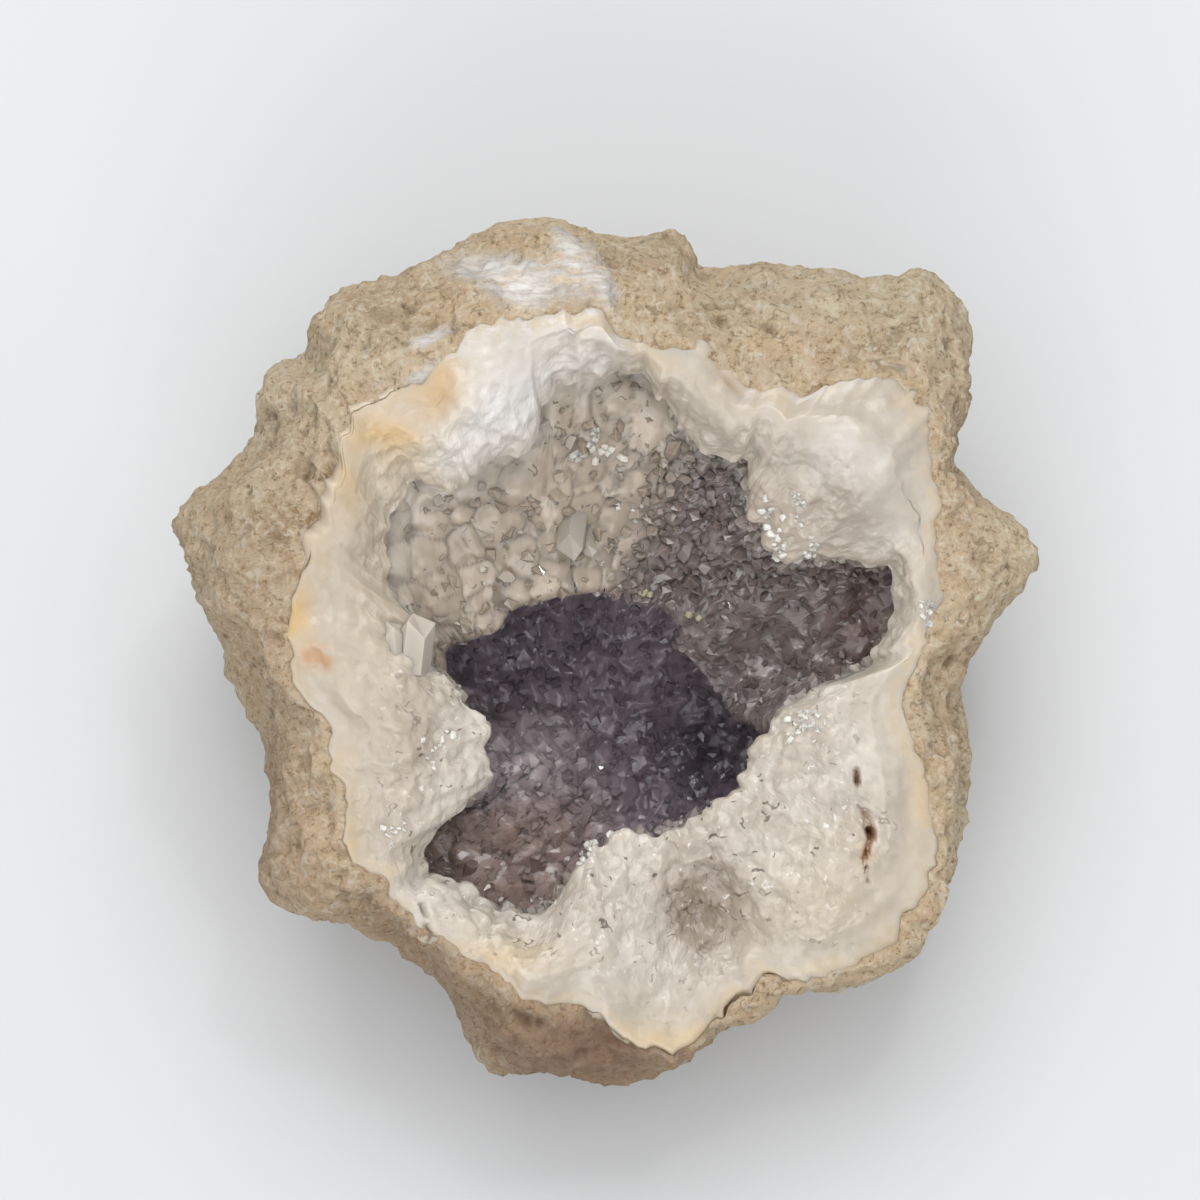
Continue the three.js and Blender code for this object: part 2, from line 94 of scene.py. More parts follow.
RIM = np.array([
    [-33.1, 10], [-31.9, 15], [-31.3, 20], [-28.1, 24], [-21.3, 26.9], [-18, 30.3], [-15.6, 33.4],
    [-11.3, 34.4], [-5.6, 35], [-0.5, 35.4], [3.1, 31.6], [8, 30.6], [12, 29.8], [15.9, 27],
    [17.9, 25], [21.5, 25.4], [23.5, 24.6], [29.5, 27], [33.9, 27.4], [37.1, 25.8], [39.9, 23.8],
    [41.3, 18.8], [41.9, 14.6], [41.9, 5], [40.8, -4.1], [38.1, -11.3], [38, -15.6], [40.8, -22.4],
    [41.6, -30.4], [41.2, -35.6], [38.6, -39.6], [35, -44], [28.4, -46.5], [24.9, -47.2],
    [19.6, -47.2], [16.8, -50.4], [11, -55], [8.5, -55.9], [5.3, -55.6], [1.8, -52.8],
    [-1.5, -50.9], [-6.9, -49.9], [-10.4, -48.4], [-12, -46], [-19.3, -42], [-23.1, -39.1],
    [-27.1, -35.1], [-31.5, -30.4], [-31.8, -24.9], [-32.8, -19.6], [-33.9, -14.9],
    [-36.8, -12.5], [-37.9, -9.3], [-38.5, -2.5], [-35.6, 4.4]])
LIP = np.array([
    [20.3, -16.5], [21.4, -14.1], [23.9, -12.9], [26.9, -10.8], [30, -9.7], [33.5, -8.3],
    [34.5, -5.6], [35.9, 0], [34.5, 3.8], [31.4, 4.8], [26.9, 5], [23, 4.8], [21.1, 6.5],
    [19.6, 8.8], [18.5, 12.5], [18.5, 16], [16.9, 18], [12.5, 18.4], [10, 21.5], [6.9, 25],
    [3.5, 28.5], [0, 26.9], [-4.4, 26.5], [-6.9, 23.5], [-7.3, 20.5], [-9.6, 17.5], [-13.3, 16.8],
    [-16.3, 14.4], [-20, 13.3], [-23.1, 13.8], [-25.3, 10], [-26, 5], [-25, 0], [-21.9, -3.1],
    [-20.3, -7.5], [-16.3, -11.9], [-13.8, -16.3], [-13.5, -21.3], [-16.9, -26], [-20.9, -29],
    [-20.8, -34], [-16.9, -35.9], [-12.9, -37.8], [-7.4, -38.8], [-4.4, -35.6], [-2.5, -32.8],
    [-0.1, -29.8], [2.5, -28.5], [6.3, -28.6], [9.6, -27.5], [12.6, -26.1], [15.6, -24.5],
    [17.3, -21.9], [19, -18.8]])
THROAT = np.array([
    [21.2, -17.5, -4], [18.6, -15.4, -7], [15.3, -13.1, -9], [13.6, -10.6, -9], [11.3, -7.5, -8],
    [10, -5.4, -7], [10.3, -2.8, -5], [8.1, -0.4, -2], [5, 1, 1], [0, 1.8, 3], [-5, 1.3, 4],
    [-10, -0.1, 4], [-13.1, -2.8, 3], [-16.3, -4.5, 3], [-19.8, -6.2, 2], [-18.2, -11.4, 1],
    [-15.2, -16.3, 1], [-15, -21.3, 0], [-18.4, -26.4, 0], [-22.4, -29.2, 0], [-22.3, -34.8, 0],
    [-17.8, -37.4, 0], [-7.6, -40.4, 0], [-3.2, -35.8, 1], [0.2, -31.2, 2], [6.4, -30.1, 2],
    [13.6, -27.4, 1], [18.5, -22.6, -1]])
HOLLOW = np.array([0.0, -17.5])   # the middle of the deep pocket
FOOT = np.array([0.0, -3.0])      # the middle of the underside

# %% Smooth curves
def slopes(x, y):
    """Monotone slopes at the knots x of the values y (one column per curve): the harmonic mean of
    the slopes on either side, and nought where they differ in sign."""
    h = np.diff(x)[:, None]
    d = np.diff(y, axis=0) / h
    before, after, h0, h1 = d[:-1], d[1:], h[:-1], h[1:]
    same = before * after > 0
    safe = lambda v: np.where(same, v, 1.0)
    inner = 3 * (h0 + h1) / ((2 * h1 + h0) / safe(before) + (h1 + 2 * h0) / safe(after))
    return np.concatenate([d[:1], np.where(same, inner, 0.0), d[-1:]])


def curve(x, y, at):
    """Monotone cubic through the knots (x, y), read off at the places `at`."""
    m = slopes(x, y)
    i = np.clip(np.searchsorted(x, at, side="right") - 1, 0, len(x) - 2)
    h = (x[i + 1] - x[i])[:, None]
    t = (at - x[i])[:, None] / h
    return ((2 * t**3 - 3 * t**2 + 1) * y[i] + (t**3 - 2 * t**2 + t) * h * m[i]
            + (3 * t**2 - 2 * t**3) * y[i + 1] + (t**3 - t**2) * h * m[i + 1])

# %% Directions round the hollow
def round_the_hollow(points, values, angles):
    """The values at the points of a closed line, as a smooth function of the direction from HOLLOW."""
    knots = np.arctan2(points[:, 1] - HOLLOW[1], points[:, 0] - HOLLOW[0])
    order = np.argsort(knots)
    x, y = knots[order], values[order]
    x = np.concatenate([x - 2 * np.pi, x, x + 2 * np.pi])
    y = np.concatenate([y, y, y])
    turned = (angles + np.pi) % (2 * np.pi) - np.pi
    return curve(x, y[:, None], turned)[:, 0]


def reach(points, angles):
    """Distance of a closed line from HOLLOW in each direction."""
    return round_the_hollow(points, np.hypot(*(points[:, :2] - HOLLOW).T), angles)


def stations(count):
    """Directions from HOLLOW, evenly spaced along the girth."""
    fine = np.linspace(-np.pi, np.pi, 4001)
    r = reach(GIRTH, fine)
    line = np.stack([r * np.cos(fine), r * np.sin(fine)], axis=1)
    length = np.concatenate([[0], np.cumsum(np.hypot(*np.diff(line, axis=0).T))])
    return np.interp(np.arange(count) * length[-1] / count, length, fine)


print("Girth:", len(GIRTH), "points; rim:", len(RIM), "points; lip:", len(LIP), "points")

# %% [markdown]
# ## Noise that repeats
#
# Natural stone is lumpy at every scale. Blender has noise textures, but a mesh that should be the
# same every time is better displaced by noise of its own. Two kinds do all the work here. Value
# noise gives soft lumps. Cells give crystals and grains: space is cut into the regions of scattered
# seeds, and each region gets its own tilt, like a facet.

# %% Soft lumps
def chances(ix, iy, iz, seed):
    """Repeatable numbers from 0 to 1 for whole-number lattice places, by mixing their bits."""
    with np.errstate(over="ignore"):
        h = (ix.astype(np.uint32) * np.uint32(374761393) + iy.astype(np.uint32) * np.uint32(668265263)
             + iz.astype(np.uint32) * np.uint32(2246822519) + np.uint32(seed) * np.uint32(3266489917))
        h = (h ^ (h >> np.uint32(13))) * np.uint32(1274126177)
        h = (h ^ (h >> np.uint32(15))) * np.uint32(2246822519)
        h = h ^ (h >> np.uint32(16))
    return h.astype(np.float64) / 4294967295.0


def lumps(p, size, seed):
    """Soft noise from -1 to 1: random values on a lattice of pitch `size`, blended smoothly."""
    q = p / size
    base = np.floor(q).astype(np.int64)
    t = q - base
    t = t * t * (3 - 2 * t)
    total = 0
    for corner in range(8):
        step = np.array([corner & 1, corner >> 1 & 1, corner >> 2 & 1])
        weight = np.prod(np.where(step, t, 1 - t), axis=-1)
        ix, iy, iz = np.moveaxis(base + step, -1, 0)
        total = total + weight * chances(ix, iy, iz, seed)
    return total * 2 - 1

# %% Seeds, grains and crystal faces
def neighbours(q, seed, count):
    """The 27 lattice cells round each place, one at a time. Each has `count` chances: three place
    its seed. Gives the way from that seed to the place, and the other chances."""
    base = np.floor(q).astype(np.int64)
    for corner in range(27):
        cell = base + np.array([corner % 3, corner // 3 % 3, corner // 9]) - 1
        ix, iy, iz = np.moveaxis(cell, -1, 0)
        luck = np.stack([chances(ix, iy, iz, seed + k) for k in range(count)], axis=-1)
        yield q - cell - luck[..., :3], luck[..., 3:]


def grains(p, size, seed):
    """Cells of scattered seeds, about `size` apart. Gives the distance to the nearest seed and to
    the next one, in units of size, and three chances of the nearest one's own."""
    near = np.full(p.shape[:-1], 9.0)
    second = near.copy()
    own = np.zeros_like(p)
    for away, fate in neighbours(p / size, seed, 6):
        d = np.linalg.norm(away, axis=-1)
        closer = d < near
        second = np.where(closer, near, np.minimum(second, d))
        near = np.where(closer, d, near)
        own = np.where(closer[..., None], fate, own)
    return near, second, own


def druse(p, size, seed, steep=0.9):
    """A crowd of quartz points about `size` apart. Each grows from a seed of its own and falls off
    by the largest of its three turned coordinates, which leaves flat faces that meet in a corner.
    The highest one shows. Gives the height, its lead over the next one, and chances of its own."""
    best = np.full(p.shape[:-1], -9.0)
    second = best.copy()
    own = np.zeros_like(p)
    for away, fate in neighbours(p / size, seed, 9):
        a = fate[..., :3] - 0.5
        a /= np.linalg.norm(a, axis=-1, keepdims=True) + 1e-9
        b = np.cross(a, fate[..., 3:] - 0.5)
        b /= np.linalg.norm(b, axis=-1, keepdims=True) + 1e-9
        turned = (away * a).sum(-1), (away * b).sum(-1), (away * np.cross(a, b)).sum(-1)
        level = 0.25 * fate[..., 5] - steep * np.abs(turned).max(0)
        higher = level > best
        second = np.where(higher, best, np.maximum(second, level))
        best = np.where(higher, level, best)
        own = np.where(higher[..., None], fate[..., :3], own)
    return (best + 0.3) * size, (best - second) * size, own


def bell(squared, width):
    """A bell-shaped bump: exp(-distance squared over twice width squared)."""
    return np.exp(-squared / (2 * width * width))


print("Lumps at the origin:", round(float(lumps(np.zeros((1, 3)), 5.0, 1)[0]), 3))

# %% [markdown]
# ## The shape of the stone
#
# The rind bulges between the foot and the rim: below the girth it is a bowl that grows rounder on
# the way down, and above it curls in to the rim, where it broke. The seam is the rind's inner side.
# The hollow's wall drops from the lip, over a gallery that slopes gently to the throat, and then
# undercuts into the deep pocket.

# %% Knobs and waves
WIDEST_Z, BOTTOM_Z, RIND = -7.0, -40.0, 4.5
KNOBS = np.array([
    [-44, 9, 6, 6, 2.2], [-35, 22, 10, 3.4, -1.8], [-32, 33, 8, 6, 2.0], [-39, 25, 0, 4, 1.0],
    [-10, 43, 8, 5, 1.6], [14, 38, 6, 4, -1.4], [24, 35, 8, 7, 1.2], [41, 36, 2, 6, 1.8],
    [44, 16, 2, 4, -1.3], [49, 4, 0, 6, 1.8], [44, -14, 0, 4, -1.0], [-41, -17, 4, 5, -1.4],
    [-37, -32, 2, 6, 1.6], [-22, -42, -4, 4, -1.2], [-4, -55, -8, 7, -1.2], [-30, 20, -28, 9, 2.5],
    [28, 24, -27, 8, 2.6], [30, -22, -27, 8, 2.2], [-27, -20, -29, 8, 2.0], [2, 34, -28, 7, 2.2],
    [-46, 4, -20, 7, 2.0], [44, 2, -22, 7, 1.8], [4, -46, -26, 7, 2.0]])
WAVES = np.array([
    [0.23, 0.11, 0.17, 1.3, 0.7], [-0.14, 0.31, 0.12, 0.4, 0.6], [0.37, -0.22, 0.31, 2.6, 0.45],
    [-0.41, -0.35, 0.28, 4.1, 0.4], [0.12, 0.49, -0.44, 5.3, 0.35]])


def from_hollow(angles, r, z):
    """Points at distance r from HOLLOW in each direction, at height z."""
    x = HOLLOW[0] + r * np.cos(angles)
    y = HOLLOW[1] + r * np.sin(angles)
    return np.stack(np.broadcast_arrays(x, y, z), axis=-1)


def face_height(x, y):
    """Height of the broken face: a plane that falls to the right and towards the near side."""
    return 13 - 0.13 * x + 0.15 * (y + 6)


def knobbly(p, share):
    """Moves points out from the stone's middle by its long swells, knobs and hollows."""
    swells = sum(w[4] * np.sin(p @ w[:3] + w[3]) for w in WAVES)
    knobs = sum(k[4] * bell(((p - k[:3]) ** 2).sum(-1), k[3]) for k in KNOBS)
    out = p - np.array([*FOOT, WIDEST_Z - 3])
    out /= np.linalg.norm(out, axis=-1, keepdims=True)
    return p + out * ((swells + knobs) * share)[..., None]

# %% Bowl and rim
def bowl(angles, turn, inset, bottom):
    """The girth's line, drawn in by inset, shrinks towards FOOT as turn goes from 0 to 1: by a
    cosine across and a sine down, while it is mixed with an oval, so that it grows rounder."""
    edge = from_hollow(angles, reach(GIRTH, angles) - inset, 0.0)[..., :2] - FOOT
    way = edge / np.linalg.norm(edge, axis=-1, keepdims=True)
    calm = 0.9 * np.minimum(1, turn * 1.5)
    edge = edge + (way * np.array([44 - inset, 47 - inset]) - edge) * calm
    share = np.cos(turn * np.pi / 2) ** 0.8
    drop = np.sin(turn * np.pi / 2) ** 0.85
    z = np.full(angles.shape, WIDEST_Z + (bottom - WIDEST_Z) * drop)
    return np.concatenate([FOOT + edge * share, z[:, None]], axis=1)


def rim_line(angles, inset=0.0):
    """The rim, ragged by fine noise and drawn in by inset, on the plane of the broken face."""
    p = from_hollow(angles, reach(RIM, angles), 0.0)
    ragged = 0.8 * lumps(p, 2.3, 51) + 0.5 * lumps(p, 1.1, 52)
    p = from_hollow(angles, reach(RIM, angles) + ragged - inset, 0.0)
    p[:, 2] = face_height(p[:, 0], p[:, 1])
    return p

# %% Rind and seam
GIRTH_AT = 0.55


def rind_outside(angles, up):
    """The rind's outside: up runs from 0 at the bottom, by GIRTH_AT at the girth, to 1 at the rim."""
    fade = 1 - math.exp(-(((up - GIRTH_AT) / 0.1) ** 2))
    if up <= GIRTH_AT:
        return knobbly(bowl(angles, 1 - up / GIRTH_AT, 0, BOTTOM_Z), fade)
    turn = (up - GIRTH_AT) / (1 - GIRTH_AT)
    rim, girth = rim_line(angles), from_hollow(angles, reach(GIRTH, angles), WIDEST_Z)
    p = rim + (girth - rim) * math.cos(turn * math.pi / 2) ** 0.9
    p[:, 2] = WIDEST_Z + (rim[:, 2] - WIDEST_Z) * math.sin(turn * math.pi / 2) ** 0.9
    return knobbly(p, fade * (1 - turn**4))


def seam(angles, down, inset):
    """The rind's inner side: down runs from 0 at the rim, by 0.3 at the girth, to 1 at the bottom."""
    if down >= 0.3:
        return bowl(angles, (down - 0.3) / 0.7, RIND + inset, BOTTOM_Z + RIND + 3 + inset)
    rim, low = rim_line(angles, inset), bowl(angles, 0.0, RIND + inset, BOTTOM_Z)
    return rim + (low - rim) * down / 0.3


# %% [markdown]
# ## The hollow and the broken face
#
# In each direction from HOLLOW a few knots lead from the lip over the gallery and the throat to the
# floor of the pocket. The same knots, pushed a little into the stone, give the back of the crust.
# That way the layers keep their distance, whatever the noise does to the lip. The broken face is
# stretched between the rim and the lip, and swells where the stone has a bright dome of quartz.

# %% Lip and swells
CRUST, FLOOR_Z = 2.0, -25.0
FACE_SWELLS = np.array([
    [-13.8, 22, 4.5, 3.2], [-1.3, 31.3, 4.0, 2.2], [30, 16.3, 8, 4.0], [-25, -12.5, 6, 2.6],
    [28.8, -27.5, 10, 3.0], [-4, -45, 6, 1.6], [12.5, -39.4, 4.2, -6.5]])
FLOOR_SWELLS = np.array([[-8.8, -22.5, 5, 5.0], [12.5, -21.9, 5, -3.0], [-15, -32, 6, 6.0]])


def swell(swells, p):
    """How far the quartz swells up, or sinks in, over each point of the face."""
    return sum(h * bell((p[..., 0] - x) ** 2 + (p[..., 1] - y) ** 2, w) for x, y, w, h in swells)


def lip_line(angles):
    """Distance of the lip from HOLLOW, made ragged by fine noise."""
    p = from_hollow(angles, reach(LIP, angles), 0.0)
    return reach(LIP, angles) + 0.7 * lumps(p, 2.1, 54) + 0.5 * lumps(p, 1.1, 55)


def lip_height(angles):
    """Height of the lip, a little under the broken face."""
    lip = from_hollow(angles, reach(LIP, angles), 0.0)
    return face_height(lip[:, 0], lip[:, 1]) - 4.5

# %% The hollow's wall
def hollow_knots(angles):
    """The hollow's wall in each direction, from the lip to the middle of the floor: columns of
    distance, height, and the way into the wall as out and up."""
    lip, lip_z = lip_line(angles), lip_height(angles)
    aside = (angles - 0.35 + 3 * np.pi) % (2 * np.pi) - np.pi
    right = bell(aside**2, 0.3)
    recess, recess_z = lip + 0.7 + 1.8 * right, lip_z - 3 - 4.5 * right
    throat = reach(THROAT, angles)
    throat_z = np.minimum(round_the_hollow(THROAT, THROAT[:, 2], angles), recess_z - 2)
    across, drop = recess - throat, recess_z - throat_z
    length = np.hypot(across, drop)
    out, up = CRUST * drop / length, -CRUST * np.maximum(across, 0) / length
    chamber = throat + 3.5 + 1.5 * np.sin(angles)
    rows = [
        (lip, lip_z, CRUST, 0.0),
        (recess, recess_z, CRUST, -0.4),
        (recess - across * 0.33, recess_z - drop * 0.33, out, up),
        (recess - across * 0.67, recess_z - drop * 0.67, out, up),
        (throat, throat_z, CRUST * 1.6, -0.8),
        (chamber, throat_z - 7, CRUST, -0.3),
        (chamber * 0.86, FLOOR_Z + 4, CRUST * 0.6, -CRUST * 0.8),
        (chamber * 0.62, FLOOR_Z + 1, 0.3, -CRUST),
        (chamber * 0.33, FLOOR_Z, 0.0, -CRUST),
        (chamber * 0.0, FLOOR_Z, 0.0, -CRUST)]
    return np.array([[np.broadcast_to(v, angles.shape) for v in row] for row in rows])


def hollow_rings(angles, into=0.0):
    """The knots of the hollow's wall as rings of points, moved into the wall by `into` crusts."""
    knots = hollow_knots(angles)
    along = np.linspace(0, 1, len(knots))
    away = np.maximum(knots[:, 0] + knots[:, 2] * into, 0)
    p = from_hollow(angles, away, knots[:, 1] + knots[:, 3] * into)
    of_face = np.maximum(0, 1 - along / 0.3)[:, None]
    of_floor = np.clip((along - 0.45) / 0.2, 0, 1)[:, None]
    p[..., 2] += swell(FACE_SWELLS, p) * of_face + swell(FLOOR_SWELLS, p) * of_floor
    return p

# %% Even rows
def resample(rings, count):
    """Rows evenly spaced along the way through rings of points, by a monotone cubic per coordinate."""
    steps = np.linalg.norm(np.diff(rings, axis=0), axis=-1).mean(-1)
    place = np.concatenate([[0], np.cumsum(steps)])
    flat = rings.reshape(len(rings), -1)
    at = np.linspace(0, place[-1], count)
    return curve(place, flat, at).reshape(count, *rings.shape[1:])


def evened(rings, count):
    """The same surface in `count` rows, evenly spaced along the way of each station for itself."""
    steps = np.linalg.norm(np.diff(rings, axis=0), axis=-1)
    place = np.concatenate([np.zeros((1, rings.shape[1])), np.cumsum(steps, axis=0)])
    place /= place[-1]
    at = np.linspace(0, 1, count)[:, None]
    row = np.clip((place[None] <= at[:, None]).sum(1) - 1, 0, len(rings) - 2)
    low, high = np.take_along_axis(place, row, 0), np.take_along_axis(place, row + 1, 0)
    share = ((at - low) / (high - low))[..., None]
    pick = lambda i: np.take_along_axis(rings, i[..., None], 0)
    return pick(row) * (1 - share) + pick(row + 1) * share

# %% Broken face
def broken_face(angles, across, inset=0.0):
    """The broken face: across is 0 at the rim and 1 at the lip; it domes a little, and swells."""
    lip = from_hollow(angles, lip_line(angles) + 0.6, lip_height(angles))
    rim = rim_line(angles, inset)
    p = rim + (lip - rim) * across
    p[:, 2] += 1.4 * math.sin(across * math.pi) + swell(FACE_SWELLS, p) * min(1, across * 4)
    return p


print("Hollow: floor at", FLOOR_Z, "mm, lip from", lip_height(stations(60)).min().round(1),
      "to", lip_height(stations(60)).max().round(1), "mm")

# %% [markdown]
# ## From a grid to a mesh
#
# A closed skin is a stack of rings with one point at either end. Every ring has the same number of
# stations, so each four neighbours make a quad, and a fan of triangles closes each end. Vertex
# normals, which the displacement needs, come from the same grid: the cross product of the steps
# round and along.

# %% Pieces and paint
def put_mesh(name, vertices, loops, sizes):
    """A mesh object of vertices in metres and faces given as one run of corners and their sizes."""
    mesh = bpy.data.meshes.new(name)
    mesh.vertices.add(len(vertices))
    mesh.vertices.foreach_set("co", np.asarray(vertices, dtype=np.float32).ravel())
    mesh.loops.add(len(loops))
    mesh.loops.foreach_set("vertex_index", np.asarray(loops, dtype=np.int32))
    mesh.polygons.add(len(sizes))
    starts = np.concatenate([[0], np.cumsum(sizes)[:-1]])
    mesh.polygons.foreach_set("loop_start", starts.astype(np.int32))
    mesh.update(calc_edges=True)
    mesh.validate()
    mesh.shade_flat()
    piece = bpy.data.objects.new(name, mesh)
    bpy.context.scene.collection.objects.link(piece)
    print(name, "has", sum(int(s) - 2 for s in sizes), "triangles")
    return piece


def paint(piece, name, values):
    """Stores one number or colour per vertex under that name, for the materials to read."""
    values = np.asarray(values, dtype=np.float32)
    if values.ndim == 1:
        layer = piece.data.attributes.new(name, "FLOAT", "POINT")
        layer.data.foreach_set("value", values)
    else:
        layer = piece.data.attributes.new(name, "FLOAT_COLOR", "POINT")
        rgba = np.concatenate([values, np.ones((len(values), 1), np.float32)], axis=1)
        layer.data.foreach_set("color", rgba.ravel())

# %% Closed skins
def ring_normals(grid):
    """Unit normals of a grid of rings: the step round crossed with the step along."""
    along = np.gradient(grid, axis=0)
    around = np.roll(grid, -1, axis=1) - np.roll(grid, 1, axis=1)
    n = np.cross(around, along)
    return n / np.maximum(np.linalg.norm(n, axis=-1, keepdims=True), 1e-9)


def skin(name, first, rings, last):
    """A closed skin: the point `first`, the rings, and the point `last`."""
    rows, n = rings.shape[:2]
    points = set_down(np.concatenate([first[None], rings.reshape(-1, 3), last[None]]))
    i = np.arange(n)
    j = (i + 1) % n
    row = 1 + np.arange(rows - 1)[:, None] * n
    quads = np.stack([row + i, row + j, row + n + j, row + n + i], axis=-1).reshape(-1)
    top = 1 + (rows - 1) * n
    start = np.stack([np.zeros(n, int), 1 + j, 1 + i], axis=-1).reshape(-1)
    end = np.stack([top + i, top + j, np.full(n, top + n)], axis=-1).reshape(-1)
    sizes = np.concatenate([np.full((rows - 1) * n, 4), np.full(2 * n, 3)])
    return put_mesh(name, points, np.concatenate([quads, start, end]), sizes)


def rounded(piece):
    """Smooth shading, for a surface with no flat faces of its own."""
    piece.data.shade_smooth()


def belong(piece, node):
    """The piece rides with the stone and stands for that node, whose own part is hidden."""
    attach(piece, "root")
    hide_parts(node)


# %% [markdown]
# ## The rind
#
# Weathered limestone is lumpy at every scale, cut by grooves, and pocked by small dark pits. The
# lumps come from noise on noise, and the grooves are drawn where the stone has them. The grid is
# half a millimetre fine, so that even the pits are real. The finest grain is left to the material.

# %% Rind surface
AROUND = 600    # stations round each ring, half a millimetre apart
angles = stations(AROUND)
GROOVES = np.array([
    # from x, y to x, y, half width, depth
    [-42, 22.5, -28.5, 24.5, 1.3, 1.6], [-38, 30, -33, 26, 1.0, 1.2], [-37, 17, -35, 3, 1.2, 1.0],
    [-52, 10, -44, 12, 1.5, -1.2], [-12, 41, -8, 33, 1.2, 1.0], [-8, 45, -6.5, 39, 1.0, 1.0],
    [12, 41, 15, 35, 1.3, 1.3], [36, 40, 34, 33, 1.4, 0.9], [44, 17, 41, 15, 1.4, 1.4],
    [46, -6, 42, -10, 1.3, 1.0], [-34.5, -19.5, -33.2, -29, 1.2, 1.2], [-20, -42, -7, -50, 1.4, -1.0],
    [-7.5, -51, 5, -56, 3.2, 1.5], [-26, -40.5, -20, -43.5, 1.2, 1.0], [20, 38, 33, 36, 2.0, -0.7],
    [-24, 37, -20, 31, 1.0, 0.9], [-30, 37, -26, 29.5, 1.2, 0.9]])


def groove_depth(p, grooves):
    """Sum over the grooves of a bell-shaped trough about each line, faded out below the girth."""
    total = 0
    for x0, y0, x1, y1, width, depth in grooves:
        way = np.array([x1 - x0, y1 - y0])
        t = np.clip(((p[..., 0] - x0) * way[0] + (p[..., 1] - y0) * way[1]) / (way @ way), 0, 1)
        d2 = (p[..., 0] - x0 - t * way[0]) ** 2 + (p[..., 1] - y0 - t * way[1]) ** 2
        total = total + depth * bell(d2, width)
    return total * np.clip((p[..., 2] + 10) / 8, 0, 1)


ups = np.concatenate([np.linspace(0.03, GIRTH_AT, 62)[:-1], np.linspace(GIRTH_AT, 1, 62)])
rind = np.stack([rind_outside(angles, up) for up in ups])
crown = np.stack([seam(angles, down, 0.0) for down in (0.03, 0.07, 0.15)])
rind = np.concatenate([rind, crown])
outward = ring_normals(rind)
wobble = np.stack([lumps(rind, 9, 5 + k) for k in range(3)], axis=-1) * 1.5
coarse = 0.9 * lumps(rind + wobble, 9.0, 11) + 0.65 * lumps(rind + wobble, 5.0, 12)
medium = 0.5 * (1 - 2 * np.abs(lumps(rind, 2.6, 13))) + 0.4 * (1 - 2 * np.abs(lumps(rind, 1.5, 14)))
pit_near, _, pit_own = grains(rind, 2.4, 21)
pits = bell(pit_near**2, 0.11) * (pit_own[..., 0] < 0.22)
inner = np.clip((len(rind) - 3 - np.arange(len(rind))) / 5, 0, 1)[:, None]
grit = 0.14 * lumps(rind, 0.9, 15) + 0.25 * np.abs(lumps(rind, 1.8, 16))
trough = groove_depth(rind, GROOVES) * (0.5 + 0.5 * lumps(rind, 2.5, 17))
height = (coarse + medium + grit - 0.75 * pits - trough) * inner
low = rind[..., 2] < -34
to_rim = np.linalg.norm(rind - rim_line(angles)[None], axis=-1)
height = np.where(low, np.minimum(height, 0.4), height) - 0.7 + 0.7 * bell(to_rim**2, 2.0)
rind = rind + outward * height[..., None]
inside = np.stack([seam(angles, down, 0.0) for down in (0.3, 0.5, 0.7, 0.85)])
inside[..., 2] = np.maximum(inside[..., 2], -33)
middle_out, middle_in = rind_outside(angles[:1], 0.0)[0], seam(angles[:1], 1.0, 0.0)[0]
rind_stone = skin("rind_stone", middle_out, np.concatenate([rind, inside]), middle_in)

# %% [markdown]
# ## Colour by place
#
# Stains, veins and patches belong to places on the stone, so they can't come from noise alone. An
# image would carry them, but it would need unwrapping, and would fix their sharpness. Here they are
# soft oval spots, worked out for each vertex and stored under a name. The materials read them, and
# break their edges up with noise.

# %% Paint helpers
def paint_rings(piece, name, values, before, after, most=1.0):
    """Paints one value per point of the visible rings, held between 0 and `most`. The hidden rings
    before and after them get noughts, and so do the two end points."""
    values = np.pad(np.clip(values, 0, most), ((before, after), (0, 0)))
    paint(piece, name, np.concatenate([[0.0], values.ravel(), [0.0]]))


def oval(p, x, y, long, short, degrees=0.0):
    """An oval spot about x, y of the face: a bell, `long` along a direction and `short` across it."""
    turn = math.radians(degrees)
    along = (p[..., 0] - x) * math.cos(turn) + (p[..., 1] - y) * math.sin(turn)
    across = (p[..., 1] - y) * math.cos(turn) - (p[..., 0] - x) * math.sin(turn)
    return np.exp(-((along / long) ** 2 + (across / short) ** 2) / 2)


def ovals(p, rows):
    """Sum of oval spots, each a row of its weight, middle x and y, two widths and direction."""
    return sum(weight * oval(p, *place) for weight, *place in rows)


print("One width from its middle a spot still has", round(math.exp(-0.5), 2), "of its strength")
